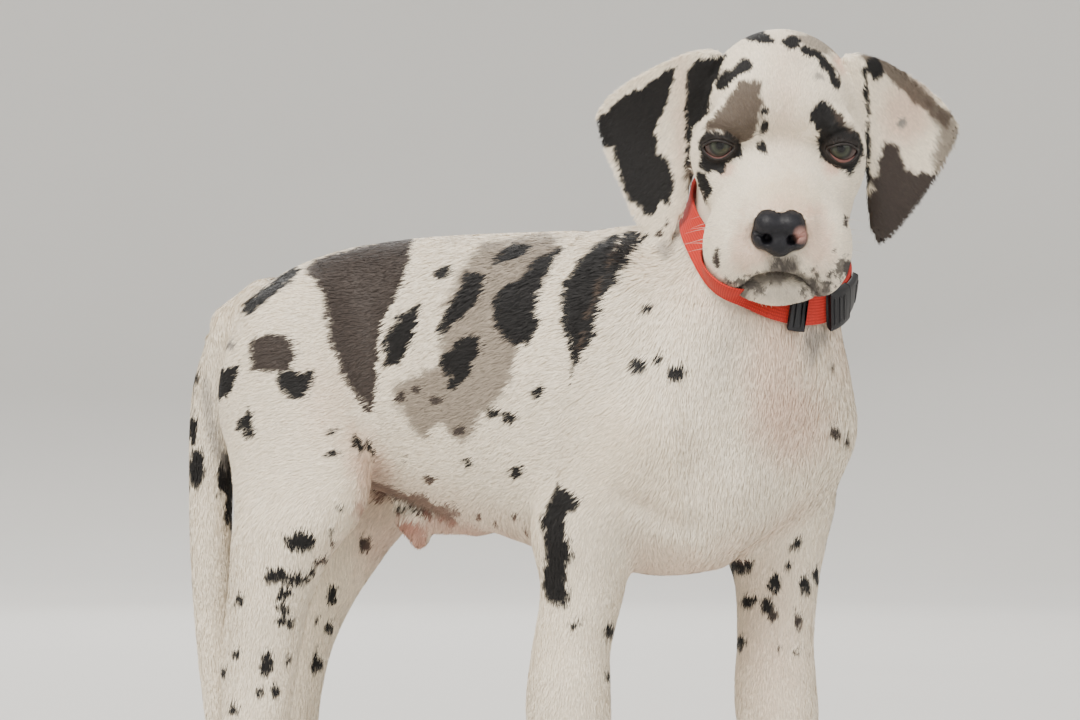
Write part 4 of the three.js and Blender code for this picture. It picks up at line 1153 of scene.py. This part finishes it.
def coat_pieces():
    tri = np.vstack([skin_faces[:, [0, 1, 2]], skin_faces[:, [0, 2, 3]]])
    a, b, c = (skin_points[tri[:, k]] for k in range(3))
    area = 0.5 * np.linalg.norm(np.cross(b - a, c - a), axis=1)
    density = np.array([PER_MM2[n] for n in PARTS])[skin_part[tri[:, 0]]]
    mid = (a + b + c) / 3
    density = density * np.where(mid[:, 2] < 40, 1.5, 1)
    count = RNG.poisson(area * density)
    pick = np.repeat(np.arange(len(tri)), count)
    u, v = RNG.random(len(pick)), RNG.random(len(pick))
    over = u + v > 1
    u[over], v[over] = 1 - u[over], 1 - v[over]
    w = 1 - u - v
    tri = tri[pick]
    root = sum(skin_points[tri[:, k]] * t[:, None] for k, t in enumerate((w, u, v)))
    n = unit(sum(skin_normals[tri[:, k]] * t[:, None] for k, t in enumerate((w, u, v))))
    part = skin_part[tri[:, 0]]
    label = np.array(PARTS)[part]
    q = to_head(root)
    lift = (root - plane_at) @ plane_n
    under_strap = (lift > STRAP_BARE[0]) & (lift < STRAP_BARE[1])
    under_strap &= np.linalg.norm(root - plane_at, axis=1) < 100
    on_muzzle = (q[:, 0] > MUZZLE_FROM) & (q[:, 2] > -90)
    bare = under_strap & ~on_muzzle & ~np.isin(label, ["ear_right", "ear_left"]) | (root[:, 2] < 3)
    for s in (1, -1):
        at, m = eye_frame(s)
        e = (q - at) @ m
        bare |= (e[:, 0] > 0) & (inside_distance(e[:, 1:], ALMOND) < 1.6) & ((e * e).sum(1) < 20**2)
    bare |= nose(q) < 0.9
    gape = np.abs(np.minimum(head_plain(root), 9) - jaw(q))
    bare |= (label == "head") & (gape < 1.7) & near_mouth(q)
    root, n, part, label, q = root[~bare], n[~bare], part[~bare], label[~bare], q[~bare]
    k = len(root)
    long = np.array([LENGTH[x] for x in PARTS])[part] * RNG.uniform(0.75, 1.2, k)
    muzzle = (label == "head") & (q[:, 0] > 40)
    long[muzzle] *= 0.72
    long *= np.where(root[:, 2] < 45, 0.65, 1)
    lie = coat_lie(root, n, label)
    side = np.cross(n, lie)
    lie = unit(lie + side * RNG.normal(0, 0.13, k)[:, None])
    side = np.cross(n, lie)
    wide = long * RNG.uniform(0.055, 0.09, k) + 0.1
    roll = RNG.normal(0, 0.22, k)[:, None]
    across = unit(side + n * roll) * wide[:, None] / 2
    middle = root + lie * (0.42 * long)[:, None] + n * (0.10 * long + 0.12)[:, None]
    tip = root + lie * long[:, None] + n * (0.13 * long * RNG.uniform(0.5, 1.25, k))[:, None]
    start = root - n * 0.35
    verts = np.stack([start, middle - across, middle + across, tip], 1)
    rgb = coat_colour(root, n, part) * RNG.uniform(0.86, 1.1, k)[:, None]
    patch = UV_PATCH * np.array([[0, -1], [-1, 0], [1, 0], [0, 1]])
    uv = np.clip(unwrap(root, n, part)[:, None] + patch, 0, 1)
    order = np.argsort(part, kind="stable")
    for i, piece in enumerate(np.array_split(order, math.ceil(k / TUFTS_PER_PIECE))):
        corners = np.array([[0, 2, 1], [1, 2, 3]])
        faces = (4 * np.arange(len(piece))[:, None, None] + corners).reshape(-1, 3)
        ob = mesh_object(f"coat_{i + 1}", verts[piece].reshape(-1, 3), faces)
        set_colour(ob, "tint", np.repeat(rgb[piece], 4, 0))
        set_uv(ob, uv[piece][:, corners.ravel()])
        finish_piece(ob, coat_look, "coat")


coat_pieces()

# Nose leather
nv, nq = surface(nose_world, [190, -155, 345], [266, -80, 425], NOSE_CELL)
nose_ob = mesh_object("nose_leather", nv, nq)
npx = to_pixels(nv)
pale = np.clip(1.3 - np.hypot((npx[:, 0] - 801) / 7, (npx[:, 1] - 235) / 8), 0, 1)
set_colour(nose_ob, "tint", mixed(np.array(NOSE_BLACK), pale, NOSTRIL_PINK))
finish_piece(nose_ob, tinted("nose_look", 0.44, 900, 0.7, 1.3, 0.7, 0.0005, gloss=0.26), "nose", "nose")


# Eyes
PUPIL = (0.004, 0.004, 0.005)
# Angle from the gaze in radians, colour
EYE_BANDS = [
    (0.0, PUPIL),
    (0.21, PUPIL),
    (0.26, (0.020, 0.022, 0.016)),
    (0.46, (0.040, 0.045, 0.031)),
    (0.58, (0.018, 0.019, 0.015)),
    (0.66, (0.008, 0.007, 0.006)),
    (0.80, (0.05, 0.032, 0.028)),
    (3.2, (0.10, 0.05, 0.04)),
]


def sphere_angles(rings, around):
    return np.linspace(0, np.pi, rings)[:, None], np.linspace(0, 2 * np.pi, around, endpoint=False)[None]


def sphere_faces(rings, around):
    return grid_faces(rings, around)[:, [0, 3, 2, 1]]


def globe(name, centre, gaze, radius, around=72, rings=56):
    side = unit(np.cross(gaze, [0, 0, 1.0]))
    up = np.cross(side, gaze)
    th, ph = sphere_angles(rings, around)
    cornea = 1 + 0.035 * np.exp(-((th / 0.36) ** 2))
    x = cornea * np.cos(th) + 0 * ph
    r = cornea * np.sin(th)
    v = (x[..., None] * gaze + (r * np.cos(ph))[..., None] * side
        + (r * np.sin(ph))[..., None] * up).reshape(-1, 3)
    ob = mesh_object(name, np.array(centre) + radius * v, sphere_faces(rings, around))
    ring = np.repeat(th[:, 0], around)
    at = [b[0] for b in EYE_BANDS]
    set_colour(ob, "tint", np.stack([np.interp(ring, at, [b[1][c] for b in EYE_BANDS]) for c in range(3)], 1))
    return ob


eye_look = tinted("eye_look", 0.04, 1200, 0.75, 1.25)
rim_dark = plain("lid_rim_dark", (0.02, 0.016, 0.015), 0.35, 700, 0.3, 0.3, 0.0003)
rim_pink = plain("lid_rim_pink", (0.15, 0.062, 0.054), 0.35, 700, 0.3, 0.3, 0.0003)


def tube(points, radii, sides=8, closed=False):
    along = np.roll(points, -1, 0) - np.roll(points, 1, 0) if closed else np.gradient(points, axis=0)
    ahead = unit(along)
    u = unit(np.cross(ahead, np.array([0.13, 0.31, 0.94])))
    v = np.cross(ahead, u)
    t = np.linspace(0, 2 * np.pi, sides, endpoint=False)
    ring = np.cos(t)[None, :, None] * u[:, None] + np.sin(t)[None, :, None] * v[:, None]
    verts = (points[:, None] + ring * np.asarray(radii).reshape(-1, 1, 1)).reshape(-1, 3)
    return verts, grid_faces(len(points), sides, closed)


for name, s in (("left", 1), ("right", -1)):
    at, m = eye_frame(s)
    centre = from_head(at)
    gaze = unit(0.8 * unit(EYE_POINT - centre) + 0.2 * HEAD[:, 0])
    finish_piece(globe("eyeball_" + name, centre, gaze, EYE["radius"] - 0.15), eye_look, "eye", "eye_" + name)
    loop = almond(np.linspace(0, 2 * np.pi, 56, endpoint=False), EYE["radius"] + 0.7, 0.2)
    v, q = tube(from_head(at + loop @ m.T), np.full(56, 0.75), closed=True)
    finish_piece(mesh_object("lid_rim_" + name, v, q), rim_dark, "nose")
    low = almond(np.linspace(1.15 * np.pi, 1.85 * np.pi, 24), EYE["radius"] + 0.25, -0.7)
    swell = np.sin(np.linspace(0, np.pi, 24)) * (0.95 if s > 0 else 0.4) + 0.05
    v, q = tube(from_head(at + low @ m.T), swell)
    finish_piece(mesh_object("haw_" + name, v, q), rim_pink, "eye")


# Claws
def claw(paw, scale, toe, around=20, rings=14):
    th, ph = sphere_angles(rings, around)
    x = 8.5 * (np.cos(th) + 0 * ph)
    taper = 1 - 0.35 * np.cos(th)
    y = 3 * np.sin(th) * np.cos(ph) * taper
    z = 3.6 * np.sin(th) * np.sin(ph) * taper - 0.03 * x * x - 0.25 * x
    v = np.stack([x, y, z], -1).reshape(-1, 3) @ rotation("z", toe["splay"]).T
    v = v + np.array(toe_spot(toe, toe["tip"] + 8, 10.5))
    v = (v * scale) @ rotation("z", paw[2]).T + np.array([paw[0], paw[1], 0])
    return v, sphere_faces(rings, around)


def joined(parts):
    verts, faces, start = [], [], 0
    for v, f in parts:
        verts.append(v)
        faces.append(f + start)
        start += len(v)
    return np.vstack(verts), np.vstack(faces)


claw_look = plain("claw_look", (0.10, 0.075, 0.06), 0.32, 260, 0.45, 0.15, 0.0003)
claws = joined([claw(leg["paw"], leg["scale"], toe) for leg in LEGS.values() for toe in TOES])
finish_piece(mesh_object("claws", *claws), claw_look, "claw", *CLAW_NODES)

# Collar
throat = np.array([0.9, -0.42, 0])
ahead_dir = unit(throat - plane_n * (throat @ plane_n))
side_dir = np.cross(plane_n, ahead_dir)


def skin_out(angle, lift):
    d = np.cos(angle)[:, None] * ahead_dir + np.sin(angle)[:, None] * side_dir
    r = np.full(len(angle), 20.0)
    for _ in range(60):
        f = bare_flesh(plane_at + plane_n * lift[:, None] + d * r[:, None])
        r -= np.where(np.abs(f) < 0.01, 0, f * 0.7)
    return d, r


def wrap(start, end, half, inner, thick, steps, closed=False, sides=24):
    """A band with rounded edges that follows the neck, from one angle to another."""
    n = steps if closed else steps + 1
    a = start + (end - start) * np.arange(n) / steps
    t = np.linspace(0, 2 * np.pi, sides, endpoint=False)
    power = 2 / 7
    lift = half * np.sign(np.sin(t)) * np.abs(np.sin(t)) ** power
    off = inner + thick / 2 * (1 - np.sign(np.cos(t)) * np.abs(np.cos(t)) ** power)
    grid_a, grid_l = np.repeat(a, sides), np.tile(lift, n)
    d, r = skin_out(grid_a, grid_l)
    verts = plane_at + plane_n * grid_l[:, None] + d * (r + np.tile(off, n))[:, None]
    q = grid_faces(n, sides, closed)
    if not closed:
        ends = []
        for base, flip in ((0, True), ((n - 1) * sides, False)):
            for k in range(sides // 2 - 1):
                e = [base + k, base + k + 1, base + sides - 2 - k, base + sides - 1 - k]
                ends.append(e if flip else e[::-1])
        q = np.vstack([q, ends])
    return verts, q, grid_a, grid_l


stand, thick = COLLAR["stand"], COLLAR["thick"]
v, q, ang, lift = wrap(0, 2 * np.pi, COLLAR["half"], stand, thick, 260, True)
strap = mesh_object("strap", v, q)
set_colour(strap, "weave", np.stack([ang * 60, lift, 0 * lift], 1) / 100 + 0.5)
m, nodes, links, shader = material("strap_look", 0.68)
attr = nodes.new("ShaderNodeAttribute")
attr.attribute_name = "weave"
wave_a = add_node(nodes, "ShaderNodeTexWave", Scale=30.0, Distortion=1.0)
wave_b = add_node(nodes, "ShaderNodeTexWave", Scale=22.0, Distortion=1.5)
wave_b.bands_direction = "Y"
height = nodes.new("ShaderNodeMath")
height.operation = "MULTIPLY"
for w, k in ((wave_a, 0), (wave_b, 1)):
    links.new(attr.outputs["Vector"], w.inputs["Vector"])
    links.new(w.outputs["Fac"], height.inputs[k])
shade(nodes, links, shader, flat_colour(nodes, STRAP_RED), height.outputs[0], 0.62, 1.15)
bump(nodes, links, shader, height.outputs[0], 0.5, 0.0005)
finish_piece(strap, m, "strap", "collar_strap")

buckle_look = plain("buckle_look", (0.014, 0.014, 0.016), 0.42, 900, 0.2, 0.25, 0.0002)
on_strap = stand + thick + 0.3


def plate(start, end, half, inner, deep, steps):
    return wrap(math.radians(start), math.radians(end), half, inner, deep, steps)[:2]


for name, (start, end, half, deep) in BUCKLE.items():
    parts, top = [plate(start, end, half, on_strap, deep, 14)], on_strap + deep
    if name == "body":
        parts += [plate(start + 3 + 5 * k, start + 5 + 5 * k, half - 3, top, 0.5, 4) for k in range(3)]
    if name == "tongue":
        parts += [plate(start + 12, end - 2, half - 2.5, top, 0.5, 6)]
    if name == "slider":
        parts += [plate(start + 2.6, end - 2.6, half - 2, top, 0.6, 4)]
    finish_piece(mesh_object("buckle_" + name, *joined(parts)), buckle_look, "buckle",
        "collar_buckle_" + name)


# Whiskers
def whiskers():
    parts = []
    for s in (1, -1):
        for i in range(9):
            root = np.array([58 + 9 * (i % 3) + RNG.uniform(-2, 2), s * 60.0,
                -22 - 9 * (i // 3) + RNG.uniform(-2, 2)])
            for _ in range(40):
                root[1] -= 0.7 * s * head_upper(root[None])[0]
            out = unit(np.array([-0.25, s * 1.0, -0.25 + RNG.uniform(-0.2, 0.2)]))
            t = np.linspace(0, 1, 9)[:, None]
            line = root - out * 0.8 + out * t * RNG.uniform(11, 17) + np.array([-4.0, 0, -3.5]) * t * t
            parts.append(tube(from_head(line), 0.16 * (1 - 0.85 * t[:, 0]), 5))
    return joined(parts)


whisker_look = plain("whisker_look", (0.55, 0.5, 0.44), 0.4, 300, 0.2, 0.1, 0.0001)
finish_piece(mesh_object("whiskers", *whiskers()), whisker_look, "coat")


# Studio
def lamp(name, where, size, power, colour):
    light = bpy.data.lights.new(name, "AREA")
    light.shape, light.size, light.energy, light.color = "SQUARE", size, power, colour
    aim(in_scene(name, light), where, Vector((0, 0, 0.3)) - Vector(where))


lamp("key", (-0.3, -2.5, 2.9), 2.0, 188, (1.0, 0.96, 0.90))
lamp("fill", (2.6, -1.2, 1.4), 2.4, 34, (0.97, 0.98, 1.0))
lamp("rim", (-1.6, 2.4, 2.2), 2.0, 95, (1.0, 0.98, 0.95))
world = bpy.data.worlds.new("world")
bpy.context.scene.world = world
world.use_nodes = True
sky = world.node_tree.nodes["Background"].inputs
sky["Color"].default_value, sky["Strength"].default_value = (0.93, 0.93, 0.92, 1), 1.05

# A round floor that bends up at its rim: radius and height in metres
turn = np.linspace(0, 2 * np.pi, 64, endpoint=False)
bend = [(3.2 + 1.4 * math.sin(t), 1.4 - 1.4 * math.cos(t)) for t in np.linspace(0.2, math.pi / 2, 8)]
profile = [(0.0, 0), (3.2, 0), *bend, (4.6, 4.0)]
rings = np.array([[(r * math.cos(a), r * math.sin(a), h) for a in turn] for r, h in profile]).reshape(-1, 3)
floor = mesh_object("floor", rings * 1000 - SHIFT * [1, 1, 0], grid_faces(len(profile), len(turn)))
floor.data.materials.append(plain("floor_look", (0.62, 0.61, 0.59), 0.85, 3, 0.02, 0.02, 0.001))
